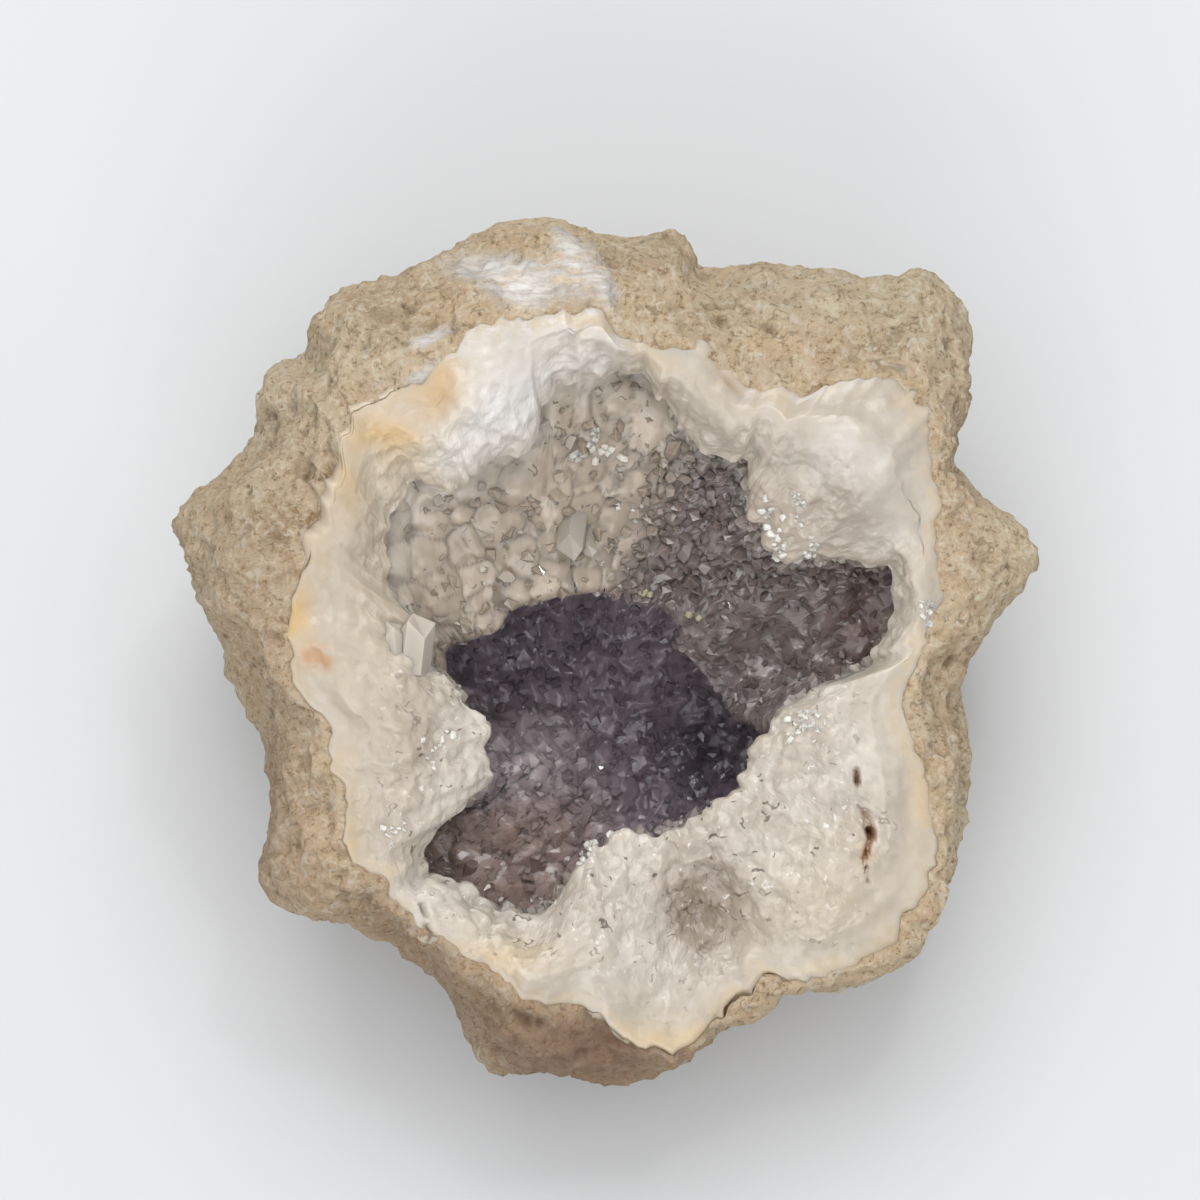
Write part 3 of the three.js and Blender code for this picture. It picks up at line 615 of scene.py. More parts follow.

# %% [markdown]
# ## What colours the rind
#
# The pits, grooves and low spots of the relief are painted darker, as painted shade. A fibrous
# white vein crosses the top edge, the near flank and the left side are a darker brown, partly the
# rock's own reddish brown and partly painted shade on the side turned away from the light, peach
# patches lie beside the quartz, and the left shoulder carries dark iron grains.

# %% Rind paint
VEIN = [
    # weight, middle x, y, widths along and across, direction in degrees
    [1.0, -13, 40.8, 6.5, 1.7, -14], [1.0, -9.5, 37.6, 2.2, 1.7], [0.9, -3.5, 43, 1.8, 3.6, 8],
    [0.8, -21, 32.0, 2.6, 0.7, 25], [0.8, -21.5, 27.8, 2.2, 0.8, 30], [0.7, 0.5, 38.5, 1.2, 2.6, 20]]
# The rock's reddish brown on the near flank and the left side, deepened by painted shade where they turn
# away from the light.
FLANK_BROWN_AND_SHADE = [
    [1.0, 0, -57.5, 10, 5.5], [0.8, -20, -47, 12, 3.5, -42], [0.5, -41, -28, 3, 14],
    [0.25, -46, 0, 7, 16], [0.4, -2, -54, 6, 2, -15]]
PEACH = [
    [1.0, -10.5, 44.5, 3.5, 2.2, -10], [1.0, -18.5, 36.5, 3.2, 2, 20], [0.8, -4, 38, 4, 1.6, -5],
    [0.8, 43, 12, 1.5, 5], [0.7, 22, 31, 9, 2.2, -5], [0.6, 45, -1, 2.5, 8], [0.6, -36, -25, 3, 12, 8]]
IRON = [[1.0, -36, 9, 2.8, 7, 5]]
# Painted shade: darker in the pits, grooves and low spots of the rind.
pit_shade = 0.35 - 0.7 * (medium + grit - 0.1) + 0.9 * pits + 0.35 * trough
from_rim = np.linalg.norm(rind[..., :2] - rim_line(angles)[None, :, :2], axis=-1)
near_rim = bell(from_rim**2, 3.2) * (rind[..., 2] > 0)
vein = np.clip(ovals(rind, VEIN), 0, 1) * np.clip((rind[..., 2] - 6) / 6, 0, 1)
finishes = {
    "pit_shade": pit_shade, "near_rim": near_rim, "vein": vein,
    "peach": ovals(rind, PEACH), "iron": ovals(rind, IRON)}
for name, values in finishes.items():
    paint_rings(rind_stone, name, values, 0, len(inside))
paint_rings(rind_stone, "flank", ovals(rind, FLANK_BROWN_AND_SHADE), 0, len(inside), 1.2)
rounded(rind_stone)
belong(rind_stone, "rind")
print("The vein covers", int((vein > 0.5).sum()), "points of the rind")

# %% [markdown]
# ## The milky band
#
# Massive quartz fills the space between rind and hollow, and shows where the stone was broken. Its
# skin starts at the rim, runs over the broken face to the lip, and turns in under it. The edge laps
# a little over the rind's, as quartz that has soaked into limestone has no clean border. The inner
# side follows the seam, and is hidden.

# %% Band surface
face_steps = np.concatenate([np.linspace(0, 0.05, 8)[:-1], np.linspace(0.05, 1, 80)])
edge_share = np.clip(1 - face_steps / 0.035, 0, 1)
room = np.clip(0.35 * (reach(GIRTH, angles) - reach(RIM, angles)), 0.8, 1.6)
steps = zip(face_steps, edge_share)
face = np.stack([broken_face(angles, across, -room * out) for across, out in steps])
face[..., 2] -= (0.25 * edge_share + 1.1 * edge_share**3 - 0.42)[:, None]
turned_in = [hollow_rings(angles, into)[k] for k, into in enumerate((0.1, 0.5, 1.2))]
under = resample(np.stack([face[-1]] + turned_in), 20)[1:]
band = np.concatenate([face, under])
outward = ring_normals(band)
from_rim = np.concatenate([face_steps, np.ones(len(under))])[:, None]
print("The band's edge laps over the rind by", room.min().round(2), "to", room.max().round(2), "mm")

# %% [markdown]
# ## The relief of the broken quartz
#
# Quartz breaks into a sugary surface. Two sizes of crystal blocks, of about three millimetres and
# one and a half, lie on soft cloudy lumps. They are coarser near the hollow and on the near side,
# where single grains can be seen, and calm towards the rim. A few narrow slits cut into the face.

# %% Band relief
SLITS = np.array([
    # from x, y to x, y, half width, depth
    [31.8, -21.0, 32.4, -24.8, 0.28, 1.0], [33.0, -26.6, 33.7, -29.4, 0.4, 1.3],
    [33.7, -29.0, 32.9, -32.0, 0.28, 1.0], [32.9, -32.6, 33.3, -35.0, 0.2, 0.6],
    [-21.9, -37.5, -21, -42, 0.25, 0.9], [15, -52, 21, -47.5, 0.5, 0.8]])
wobble = np.stack([lumps(band, 6, 31 + k) for k in range(3)], axis=-1) * 1.2
clouds = 1.1 * lumps(band + wobble, 8.0, 34) + 0.7 * lumps(band + wobble, 4.0, 35)
blocks, block_lead, block_own = druse(band + 0.5 * wobble, 3.2, 36, 0.8)
sugar = druse(band, 1.5, 37, 0.9)[0]
nearer = np.clip((-14 - band[..., 1]) / 12, 0, 1)
coarser = np.clip((from_rim - 0.3 + 0.28 * nearer + 0.15 * lumps(band, 7.0, 38)) / 0.5, 0, 1)
height = 0.8 * clouds + blocks * (0.15 + 0.42 * coarser) + sugar * (0.2 + 0.24 * coarser)
to_rim = np.linalg.norm(band - rim_line(angles)[None], axis=-1)
lip_reach = reach(LIP, angles)
skewed = np.abs(np.roll(lip_reach, -1) - np.roll(lip_reach, 1)) / 1.2
height = height * np.clip(to_rim / 3, 0.25, 1) / (1 + 0.8 * skewed * from_rim)
slit = groove_depth(band, SLITS) * np.clip(0.8 + 0.9 * lumps(band, 0.9, 39), 0, 1.4)
band = band + outward * (height - 0.3 - slit)[..., None]
outside = np.stack([seam(angles, down, 0.5) for down in (0.9, 0.7, 0.5, 0.3, 0.15)])
outside[..., 2] = np.maximum(outside[..., 2], -32)
deep = hollow_rings(angles, 1.3)
rings = np.concatenate([outside, band, deep[3:-1]])
milky_band = skin("milky_band", outside[0].mean(0), rings, deep[-1, 0])

# %% [markdown]
# ## Stains on the quartz
#
# Iron from the limestone has seeped into the quartz at the left, yellow to orange, with one rusty
# spot. The slits are brown-red inside. The domes of the upper half are the whitest parts, and the
# second small hollow at the lower right is grey-brown, darkened further by painted shade. Where the
# blocks are coarse, their faces are shaded flat, so that each catches the light by itself. The rest
# is shaded smooth.

# %% Band paint
YELLOW = [
    # weight, middle x, y, widths along and across, direction in degrees
    [1.0, -26.5, 20.5, 3.0, 1.5], [0.9, -30.8, 13.5, 1.3, 2.6], [1.0, -37.2, -1.5, 1.6, 3.4],
    [0.4, -34, 6, 1.3, 3.0], [0.45, -31.5, -28, 1.6, 8], [0.15, 40.5, -25, 1.8, 8],
    [0.35, -15, -44, 7, 1.5], [0.3, 9, -54, 4, 1.5]]
CREAM = [[1.0, -30, 2, 5, 14], [0.8, -26, 16, 5, 4], [0.5, 33, -38, 8, 6]]
RUST = [[1.5, -34.8, -6.9, 1.1, 0.9], [0.8, -33.6, -7.6, 0.7, 0.6], [0.9, 33.0, -31.2, 0.5, 0.6]]
BEIGE_SPOTS = [
    [0.8, -33, 4, 4, 9], [0.8, 23.5, 6.5, 4, 5.5], [0.8, -28.5, 4, 4, 11], [0.95, -27, -18.5, 5.5, 7],
    [0.4, 22, -14, 4, 4], [0.4, 9, 24, 8, 3]]
BRIGHT = [
    [0.8, -26.3, 23.4, 2.4, 1.1], [1.3, -14, 20, 6, 4], [1.3, -6, 31, 8, 3.2], [0.35, 30, 17, 9, 7],
    [0.6, -20, -2, 5, 7], [0.5, -22, -37, 8, 4], [0.25, 3, -44, 8, 6], [0.4, 25, -12, 5, 4]]
crack = (block_lead < 0.15) * (block_own[..., 1] < 0.4)
at_lip = np.clip((from_rim - 0.8) / 0.2, 0, 1) * np.clip((band[..., 1] - 2) / 6, 0, 1)
from_edge = np.linalg.norm(band[..., :2] - rim_line(angles)[None, :, :2], axis=-1)
finishes = {
    "yellow": ovals(band, YELLOW),
    "cream": ovals(band, CREAM),
    "brown": (1.5 * np.clip(slit - 0.2, 0, 1) * (band[..., 0] > 25)
              + 0.55 * oval(band, 15.6, 26.9, 1.8, 0.4, -46)),
    "rust": ovals(band, RUST) * np.clip(0.8 + 0.7 * lumps(band, 0.8, 53), 0, 1.5),
    "beige": ovals(band, BEIGE_SPOTS) + 0.9 * at_lip,
    # The small hollow: its grey-brown colour, and painted shade inside it.
    "vug": oval(band, 12.3, -38.8, 3.4, 3.8),
    "bright": ovals(band, BRIGHT),
    "shade": 0.5 * (block_own[..., 0] - 0.5) * (0.3 + coarser) + 0.6 * crack * coarser,
    "coarse": coarser * (band[..., 1] < -8),
    "tan": oval(band, -20.5, 26.0, 2.6, 3.0),
    "near_rim": bell(from_edge**2, 1.7),
    "translucent": bell((from_edge - 3.5) ** 2, 2.5)}
for name, values in finishes.items():
    paint_rings(milky_band, name, values, len(outside), len(deep) - 4)
rounded(milky_band)
sugary = np.pad(coarser[:-1] > 0.35, ((len(outside), len(deep) - 4), (0, 0)))
smooth = np.concatenate([~sugary.ravel(), np.ones(2 * AROUND, bool)])
milky_band.data.polygons.foreach_set("use_smooth", smooth)
belong(milky_band, "quartz_band")
print("Sugary faces on the band:", int(sugary.sum()))

# %% [markdown]
# ## The lining of the hollow
#
# The hollow is lined with quartz that has grown together. In the gallery it forms rounded cobbles
# with dark joints between them, which are bumps over scattered seeds. At the right and down in the
# pocket it is a crowd of crystal points, whose flat faces come from the druse noise. The top edge
# starts behind the band and comes out within a few rings, so that no gap opens under the lip. Its
# front is also the ground on which the single crystals are planted.

# %% Lining
ROUND = 480    # stations round each ring
DOWN = 190     # rings from the lip to the middle of the floor
SETTLE = 14    # rings over which the edge comes out from behind the band


def rightness(p):
    """How far a place lies to the right of the gallery's middle, where the points are finer."""
    return np.clip((p[..., 0] - 3 + 0.35 * (8 - p[..., 1])) / 6, 0, 1)


turns = stations(ROUND)
knots, behind_knots = hollow_rings(turns), hollow_rings(turns, 1.0)
knots[-1] = knots[-1] * 0.97 + knots[-2] * 0.03
behind = resample(behind_knots[:-1], 12)[::-1]
behind_knots[-1] = knots[-1]
front, wall = (evened(resample(rings, 300), DOWN) for rings in (knots, behind_knots))
emerging = 0.85 * np.clip(1 - np.arange(DOWN) / SETTLE, 0, 1)[:, None]
front = front * (1 - emerging[..., None]) + wall * emerging[..., None]
into_hollow = ring_normals(front)
finer = rightness(front) * (front[..., 2] > -2)
softer = (1 - finer) * (front[..., 2] > 0)
large, large_lead, large_own = druse(front, 3.8, 43, 0.75)
small, small_lead, small_own = druse(front, 1.7, 44, 0.95)
jitter = 0.5 * lumps(front, 2.0, 46)[..., None]
cobble, next_cobble, cobble_own = grains(front + jitter, 4.4, 45)
dome = 1.7 * (1 - (cobble / 0.75) ** 2) + 0.8 * (cobble_own[..., 0] - 0.5)
relief = 0.9 * lumps(front, 7.0, 41) + large * (0.8 - 0.45 * finer) * (1 - 0.7 * softer)
relief = relief + small * (0.25 + 0.5 * finer - 0.1 * softer) + 0.42 * dome * softer
front = front + into_hollow * (relief * (1 - emerging) - 0.2)[..., None]
middle_behind, middle_front = (hollow_rings(turns[:1], into)[-1, 0] for into in (1.0, 0.0))
lining = skin("crust_lining", middle_behind, np.concatenate([behind, front]), middle_front)
smooth = np.pad(softer[:-1] > 0.5, ((len(behind), 2), (0, 0)))
lining.data.polygons.foreach_set("use_smooth", smooth.ravel())
belong(lining, "crystal_crust")

# %% [markdown]
# ## Crystals
#
# A quartz point is a six-sided prism with a pyramid on it. Two of its tricks matter: three of the
# pyramid's faces are larger than the other three, which makes the prism's shoulder rise and fall
# round it, and the tip is rarely in the middle. Thousands of points are made at once: one small
# template of thirteen corners is stretched, spun and tilted by whole arrays.

# %% Crystal mesh
SIX = np.arange(6) * np.pi / 3


def plant(name, foot, way, width, height, tint, seed):
    """Joined quartz points: base and shoulder are hexagons of that width, the shoulder rises and
    falls from corner to corner, the tip stands off the middle, and `way` is each point's axis."""
    rng = np.random.default_rng(seed)
    n = len(foot)
    side = np.cross(way, np.array([0.31, 0.74, 0.59]))
    side /= np.linalg.norm(side, axis=1, keepdims=True)
    other = np.cross(way, side)
    spin = rng.uniform(0, 2 * np.pi, (n, 1)) + SIX
    squash = rng.uniform(0.75, 1.0, (n, 1))
    x, y = np.cos(spin), np.sin(spin) * squash
    wide = width[:, None]

    def ring(r, z):
        """Six corners round each axis, r out from it and z along it."""
        flat = foot[:, None] + (x * r)[..., None] * side[:, None] + (y * r)[..., None] * other[:, None]
        return flat + z[..., None] * way[:, None]

    rise = height[:, None] - wide * rng.uniform(0.35, 0.6, (n, 1))
    shoulder = rise + wide * 0.2 * np.where(np.arange(6) % 2, 1, -1)
    base = ring(wide / 2, np.tile(-0.6 * wide, 6))
    top = ring(wide / 2 * rng.uniform(0.86, 1.0, (n, 1)), shoulder)
    lean = rng.uniform(-0.24, 0.24, (n, 2, 1)) * width[:, None, None]
    tip = foot + way * height[:, None] + side * lean[:, 0] + other * lean[:, 1]
    corners = np.concatenate([base, top, tip[:, None]], axis=1).reshape(-1, 3)
    k, m = np.arange(6), (np.arange(6) + 1) % 6
    quads = np.stack([k, m, m + 6, k + 6], axis=1).ravel()
    tips = np.stack([k + 6, m + 6, np.full(6, 12)], axis=1).ravel()
    one = np.concatenate([quads, tips, np.arange(5, -1, -1)])
    loops = (one[None] + 13 * np.arange(n)[:, None]).ravel()
    piece = put_mesh(name, set_down(corners), loops, np.tile([4] * 6 + [3] * 6 + [6], n))
    # Painted shade and light: each point is darker at its foot among its neighbours and a little lighter
    # at its tip.
    fade = np.array([0.85] * 6 + [0.98] * 6 + [1.03])[None, :, None]
    paint(piece, "tint", np.clip(tint[:, None] * fade, 0, 1).reshape(-1, 3))
    return piece

# %% Scattered places
def scatter(spacing, seed, where):
    """Places on the lining's front, about `spacing` apart: random points with an even chance per
    area, of which each small cube of space keeps one. `where` says how likely each point is."""
    rng = np.random.default_rng(seed)
    a, b, c = front[:-1], np.roll(front, -1, axis=1)[:-1], front[1:]
    area = np.linalg.norm(np.cross(b - a, c - a), axis=-1).ravel()
    count = int(area.sum() / spacing**2 * 9)
    picked = rng.choice(len(area), count, p=area / area.sum())
    s, t = rng.random((2, count, 1))
    a, b, c, way = (grid.reshape(-1, 3)[picked] for grid in (a, b, c, into_hollow[:-1]))
    p = a + (b - a) * s + (c - a) * t
    likely = where(p) > rng.random(count)
    p, way = p[likely], way[likely]
    cube = np.floor(p / spacing).astype(np.int64)
    kept = np.unique(cube, axis=0, return_index=True)[1]
    return p[kept], way[kept]


def tilted(way, by, rng):
    """Each axis leaned at random, by about that share of its length."""
    way = way + rng.normal(0, by, way.shape)
    return way / np.linalg.norm(way, axis=1, keepdims=True)


# %% [markdown]
# ## Where the crystals grow, and how dark they are
#
# The gallery's cobbles carry only a few flat points, grey-beige like themselves. To the right the
# points are finer and greyer, and they stand close together. Down in the deep pocket the quartz
# turns to smoky purple, and the floor at the lower left is pinkish brown, made lighter by painted
# light where the light reaches it. Painted shade darkens the alcove under the right ledge, the
# pocket under the upper left ledge and its near right corner. Where the points may stand is given
# by functions of the place, and the colours are blended one over the other.

# %% Colours of the hollow
BEIGE = np.array([0.352, 0.292, 0.225])
GREY = np.array([0.177, 0.142, 0.132])
ALCOVE_BROWN_AND_SHADE = np.array([0.22, 0.148, 0.133])
PURPLE = np.array([0.252, 0.205, 0.225])
LILAC = np.array([0.56, 0.48, 0.49])
POCKET_SHADE = np.array([0.11, 0.092, 0.118])
PINK_AND_PAINTED_LIGHT = np.array([0.42, 0.32, 0.28])
WHITE = np.array([0.47, 0.42, 0.355])


def blend(a, b, share):
    """Colour a turned towards colour b by a share per point."""
    return a + (b - a) * np.clip(share, 0, 1)[:, None]


def hollow_tint(p):
    """Colour by place: beige at the back, greyer to the right, purple down in the pocket, pinkish
    brown on the near left floor, made lighter there by painted light, and painted shade in the
    alcove under the right ledge, under the upper left ledge and darkest in the near right corner."""
    x, y, z = p.T
    angles = np.arctan2(y - HOLLOW[1], x - HOLLOW[0])
    r = np.hypot(x - HOLLOW[0], y - HOLLOW[1])
    right = np.clip((x - 1 + 0.5 * (8 - y) + 2 * lumps(p, 4.0, 61)) / 9, 0, 1)
    colour = blend(np.broadcast_to(BEIGE, p.shape), GREY, right)
    # Reddish brown, darkened as painted shade, in the alcove under the right ledge.
    colour = blend(colour, ALCOVE_BROWN_AND_SHADE, 0.9 * oval(p, 33, -3, 3.5, 5))
    under = np.clip((reach(LIP, angles) - r) / 6, 0, 1) + np.clip((lip_height(angles) - z) / 9, 0, 1)
    paler = (1 - under + 0.25 * lumps(p, 3.0, 62)) * 1.2 + 0.4 * oval(p, -23, 4, 4, 9)
    colour = blend(colour, WHITE, paler)
    deep = np.clip((round_the_hollow(THROAT, THROAT[:, 2], angles) + 1 - z) / 3, 0, 1)
    colour = blend(colour, PURPLE, deep)
    colour = blend(colour, LILAC, 0.68 * oval(p, -8.5, -21, 4, 4) * deep)
    # Pinkish brown of the near left floor, made lighter as painted light where the light reaches it.
    colour = blend(colour, PINK_AND_PAINTED_LIGHT, np.clip((-23 - y) / 6, 0, 1) * np.clip((3 - x) / 10, 0, 1) * deep)
    # Painted shade: darkest in the near right corner of the pocket and under the upper left ledge.
    return blend(colour, POCKET_SHADE, (0.9 * oval(p, 13, -20, 5, 5) + 0.45 * oval(p, -7, -5, 9, 5)) * deep)

# %% Crystal fields
ASKEW = 0.6    # how far the points lean at random, as a share of their length


def field(name, spacing, size, tall, where, seed):
    """A field of points on the lining: widths in the range `size`, heights `tall` times as much."""
    rng = np.random.default_rng(seed)
    p, way = scatter(spacing, seed, where)
    width = rng.uniform(*size, len(p)) * rng.uniform(0.7, 1.15, len(p))
    height = width * rng.uniform(*tall, len(p))
    colour = hollow_tint(p) * rng.uniform(0.85, 1.12, (len(p), 1))
    piece = plant(name, p, tilted(way, ASKEW, rng), width, height, colour, seed + 1)
    belong(piece, "crystal_crust")
    return piece


def pocket(p):
    """1 in the deep pocket, 0 in the gallery."""
    return 1.0 * ((p[:, 1] <= 2) & (p[:, 2] <= 0.5))


def below_lip(p):
    """1 where a place lies well under the lip, 0 near it."""
    angles = np.arctan2(p[:, 1] - HOLLOW[1], p[:, 0] - HOLLOW[0])
    return 1.0 * (lip_height(angles) + swell(FACE_SWELLS, p) - p[:, 2] > 2.5)


def on_cobbles(p):
    """Few points in the gallery, and fewest at its left end."""
    thinned = np.clip((p[:, 0] + 24) / 8, 0.1, 1)
    return 0.18 * (1 - rightness(p)) * (1 - pocket(p)) * below_lip(p) * thinned


def at_right(p):
    """Many points to the right, well under the lip."""
    return 0.8 * rightness(p) * (1 - pocket(p)) * below_lip(p)


def in_pocket(p):
    """Points on half of the places in the deep pocket."""
    return 0.5 * pocket(p)


gallery = field("gallery_crystals", 2.4, (1.0, 2.4), (0.12, 0.35), on_cobbles, 101)
fine = field("fine_crystals", 1.6, (1.0, 2.2), (0.4, 0.9), at_right, 102)
chamber = field("chamber_crystals", 2.0, (0.9, 2.0), (0.2, 0.5), in_pocket, 103)

# %% [markdown]
# ## The colour of the lining
#
# Between two crystals that have grown together lies a dark joint. The noise has told how much the
# highest facet leads over the next one, and where that lead is small the lining is darker. Each
# cobble and facet also has a shade of its own, as no two crystals are equally clear.

# %% Lining paint
large_joint = np.clip(1 - large_lead / 0.5, 0, 1) * (large_own[..., 1] < 0.5)
small_joint = np.clip(1 - small_lead / 0.25, 0, 1) * (small_own[..., 1] < 0.4)
cobble_joint = np.clip(1 - (next_cobble - cobble) / 0.13, 0, 1) * (cobble_own[..., 1] < 0.75)
crease = (0.7 * large_joint + small_joint) * (1 - 0.8 * softer) + 1.3 * cobble_joint * softer
uneven = 1 + 0.25 * (cobble_own[..., 2] - 0.5) * softer
uneven = uneven + 0.2 * (large_own[..., 0] - 0.5) * (1 - softer) + 0.15 * (small_own[..., 0] - 0.5)
darker = 1 - 0.3 * np.clip(crease, 0, 1.3)
front_tint = hollow_tint(front.reshape(-1, 3)) * (uneven * darker).reshape(-1, 1)
hidden = np.full((1 + behind[..., 0].size, 3), 0.2)
paint(lining, "tint", np.concatenate([hidden, front_tint, front_tint[-1:]]))
print("Joints darken", round(100 * float((crease > 0.5).mean())), "% of the lining")

# %% [markdown]
# ## Crystals that stand out
#
# A few crystals are recognisable one by one: a clear one that lies on the gallery's slope, a thick
# white block on the left lip, a round cluster under the back wall, some yellowish grains at the
# pocket's edge, and groups of white grains on the lip and the broken face, whose bright white also
# stands in for painted glints. Each is planted at its own place: the highest point of the stone
# there is looked up, and the crystal grows from it.

# %% Places of the single crystals
CLEAR = [
    # x, y, axis x, y, z, width, height
    [-3.4, 9.4, -0.12, -0.95, 0.35, 4.0, 5.8], [-1.7, 7.6, 0.2, -0.8, 0.4, 2.0, 3.2]]
BLOCK = [[-22.9, -5.4, 0.12, 0.95, 0.10, 4.8, 4.4], [-25.2, -4.8, -0.1, 0.95, 0.10, 3.0, 2.8]]
YELLOWISH = [
    [5.2, 1.2, 0, 0.3, 1, 1.5, 0.8], [6.1, 0.7, 0.4, 0, 1, 1.0, 0.6], [11.2, -1.8, 0.2, 0.2, 1, 1.4, 0.8],
    [12.2, -2.2, 0, 0.4, 1, 0.9, 0.5], [9.7, 8.9, 0.2, 0.1, 1, 1.1, 0.7]]
GROUPS = np.array([
    # middle x, y, spread across and up, number of grains
    [24.4, 12.0, 0.4, 1.4, 14], [20.6, 10.6, 0.8, 0.5, 10], [22.2, 7.0, 0.6, 1.2, 14],
    [26.2, 6.6, 0.35, 1.0, 9], [40.6, -0.8, 0.4, 1.4, 14], [25.7, -15.4, 1.0, 1.2, 26],
    [-20.2, -17.2, 1.3, 1.2, 9], [-2.6, -30.4, 1.3, 0.9, 16], [4.4, 11.0, 0.9, 0.9, 10],
    [-25.3, -28.4, 0.8, 0.9, 10]])

# %% Single crystals
def ground(grid, places):
    """The grid's point nearest to each x, y of the face, where a higher point counts as nearer."""
    p = grid.reshape(-1, 3)
    away = np.hypot(p[None, :, 0] - places[:, :1], p[None, :, 1] - places[:, 1:2])
    return p[(away - 0.12 * p[None, :, 2]).argmin(1)]


def single(name, grid, rows, tint, seed):
    """Crystals from rows of x, y, the axis' x, y, z, width and height."""
    rows = np.array(rows, float)
    way = rows[:, 2:5] / np.linalg.norm(rows[:, 2:5], axis=1, keepdims=True)
    foot = ground(grid, rows) - way * 0.15 * rows[:, 6:7]
    tints = np.tile(np.array(tint), (len(rows), 1))
    piece = plant(name, foot, way, rows[:, 5], rows[:, 6], tints, seed)
    belong(piece, "crystal_crust")
    return piece


rng = np.random.default_rng(77)
spread = rng.normal(0, 1, (16, 2))
ROUND_GROUP = [
    [-0.4 + 1.2 * x, 19.2 + 1.2 * y, 0.6 * x, 0.6 * y - 0.2, 1.0, 1.2, 0.8] for x, y in spread]
middles = np.repeat(GROUPS, GROUPS[:, 4].astype(int), axis=0)
count = len(middles)
# White grains round the groups' middles, which also stand in for painted glints.
GRAINS_AND_GLINTS = np.concatenate([
    middles[:, :2] + rng.normal(0, 1, (count, 2)) * middles[:, 2:4], rng.normal(0, 0.5, (count, 2)),
    np.ones((count, 1)), rng.uniform(0.6, 1.4, (count, 1)), rng.uniform(0.25, 0.45, (count, 1))], axis=1)
clear = single("clear_crystal", front, CLEAR, (0.60, 0.545, 0.47), 111)
block = single("white_block", band, BLOCK, (0.42, 0.375, 0.32), 112)
cluster = single("round_cluster", front, ROUND_GROUP, (0.60, 0.55, 0.48), 113)
drops = single("yellow_grains", front, YELLOWISH, (0.50, 0.44, 0.29), 114)
both = np.concatenate([band.reshape(-1, 3), front.reshape(-1, 3)])
white_grains_and_glints = single("white_grains_and_glints", both, GRAINS_AND_GLINTS, (0.86, 0.80, 0.71), 115)

# %% [markdown]
# ## Building blocks for materials
#
# A material here is a chain: a base colour, and one layer after another mixed over it, each by a
# share that comes from noise, from a painted name, or from both. A few short helpers make and link
# the nodes, so that each line of a finish reads as one layer.

# %% Materials and nodes
def finish(name):
    """A new material, with its tree and its principled shader."""
    material = bpy.data.materials.new(name)
    material.use_nodes = True
    tree = material.node_tree
    print("Material:", name)
    return material, tree, tree.nodes["Principled BSDF"]


def node(tree, kind, **settings):
    """A node of that kind, its properties or inputs set by name."""
    made = tree.nodes.new(kind)
    for key, value in settings.items():
        if key in made.inputs:
            made.inputs[key].default_value = value
        else:
            setattr(made, key, value)
    return made


def read(tree, name, socket="Fac"):
    """The value of a painted attribute."""
    return node(tree, "ShaderNodeAttribute", attribute_name=name).outputs[socket]


def mixed(tree, share, a, b):
    """Colours a and b mixed by a share; each may be a socket or a plain colour."""
    mix = node(tree, "ShaderNodeMix", data_type="RGBA")
    for socket, value in ((mix.inputs["Factor"], share), (mix.inputs[6], a), (mix.inputs[7], b)):
        if isinstance(value, bpy.types.NodeSocket):
            tree.links.new(value, socket)
        elif isinstance(value, (int, float)):
            socket.default_value = value
        else:
            socket.default_value = (*value, 1)
    return mix.outputs[2]

# %% Noise and ranges
def noise(tree, scale, detail=4.0, roughness=0.55, squeeze=None):
    """Noise with that many waves to a metre, squeezed along the object's axes if asked."""
    where = node(tree, "ShaderNodeTexCoord").outputs["Object"]
    if squeeze:
        product = node(tree, "ShaderNodeVectorMath", operation="MULTIPLY")
        tree.links.new(where, product.inputs[0])
        product.inputs[1].default_value = squeeze
        where = product.outputs["Vector"]
    made = node(tree, "ShaderNodeTexNoise", Scale=scale, Detail=detail, Roughness=roughness)
    tree.links.new(where, made.inputs["Vector"])
    return made.outputs["Fac"]


def stretched(tree, value, low, high, to_low=0.0, to_high=1.0):
    """A value stretched from one range to another, and held at its ends."""
    made = node(tree, "ShaderNodeMapRange")
    tree.links.new(value, made.inputs["Value"])
    for key, number in (("From Min", low), ("From Max", high), ("To Min", to_low), ("To Max", to_high)):
        made.inputs[key].default_value = number
    return made.outputs["Result"]


def math_of(tree, operation, a, b):
    """One step of arithmetic on two values."""
    made = node(tree, "ShaderNodeMath", operation=operation)
    for socket, value in zip(made.inputs, (a, b)):
        if isinstance(value, bpy.types.NodeSocket):
            tree.links.new(value, socket)
        else:
            socket.default_value = value
    return made.outputs[0]

# %% Layers
def times(tree, a, b):
    """The product of two values."""
    return math_of(tree, "MULTIPLY", a, b)


def over(tree, base, colour, share, weight):
    """A colour laid over the base by a share and a weight; the weight may be a socket too."""
    return mixed(tree, times(tree, share, weight), base, colour)


def curls(tree, scale, rarity):
    """Short thin curved marks: where one noise crosses its middle, and another one is high."""
    line = math_of(tree, "ABSOLUTE", math_of(tree, "SUBTRACT", noise(tree, scale, 1.0), 0.5), 0.0)
    high = stretched(tree, noise(tree, scale * 0.9, 1.0), rarity, rarity + 0.02)
    return times(tree, stretched(tree, line, 0.05, 0.02), high)


def bump(tree, shader, height, strength, distance):
    """Fine relief: the height pushes the shading normal about."""
    made = node(tree, "ShaderNodeBump", Strength=strength, Distance=distance)
    tree.links.new(height, made.inputs["Height"])
    tree.links.new(made.outputs["Normal"], shader.inputs["Normal"])


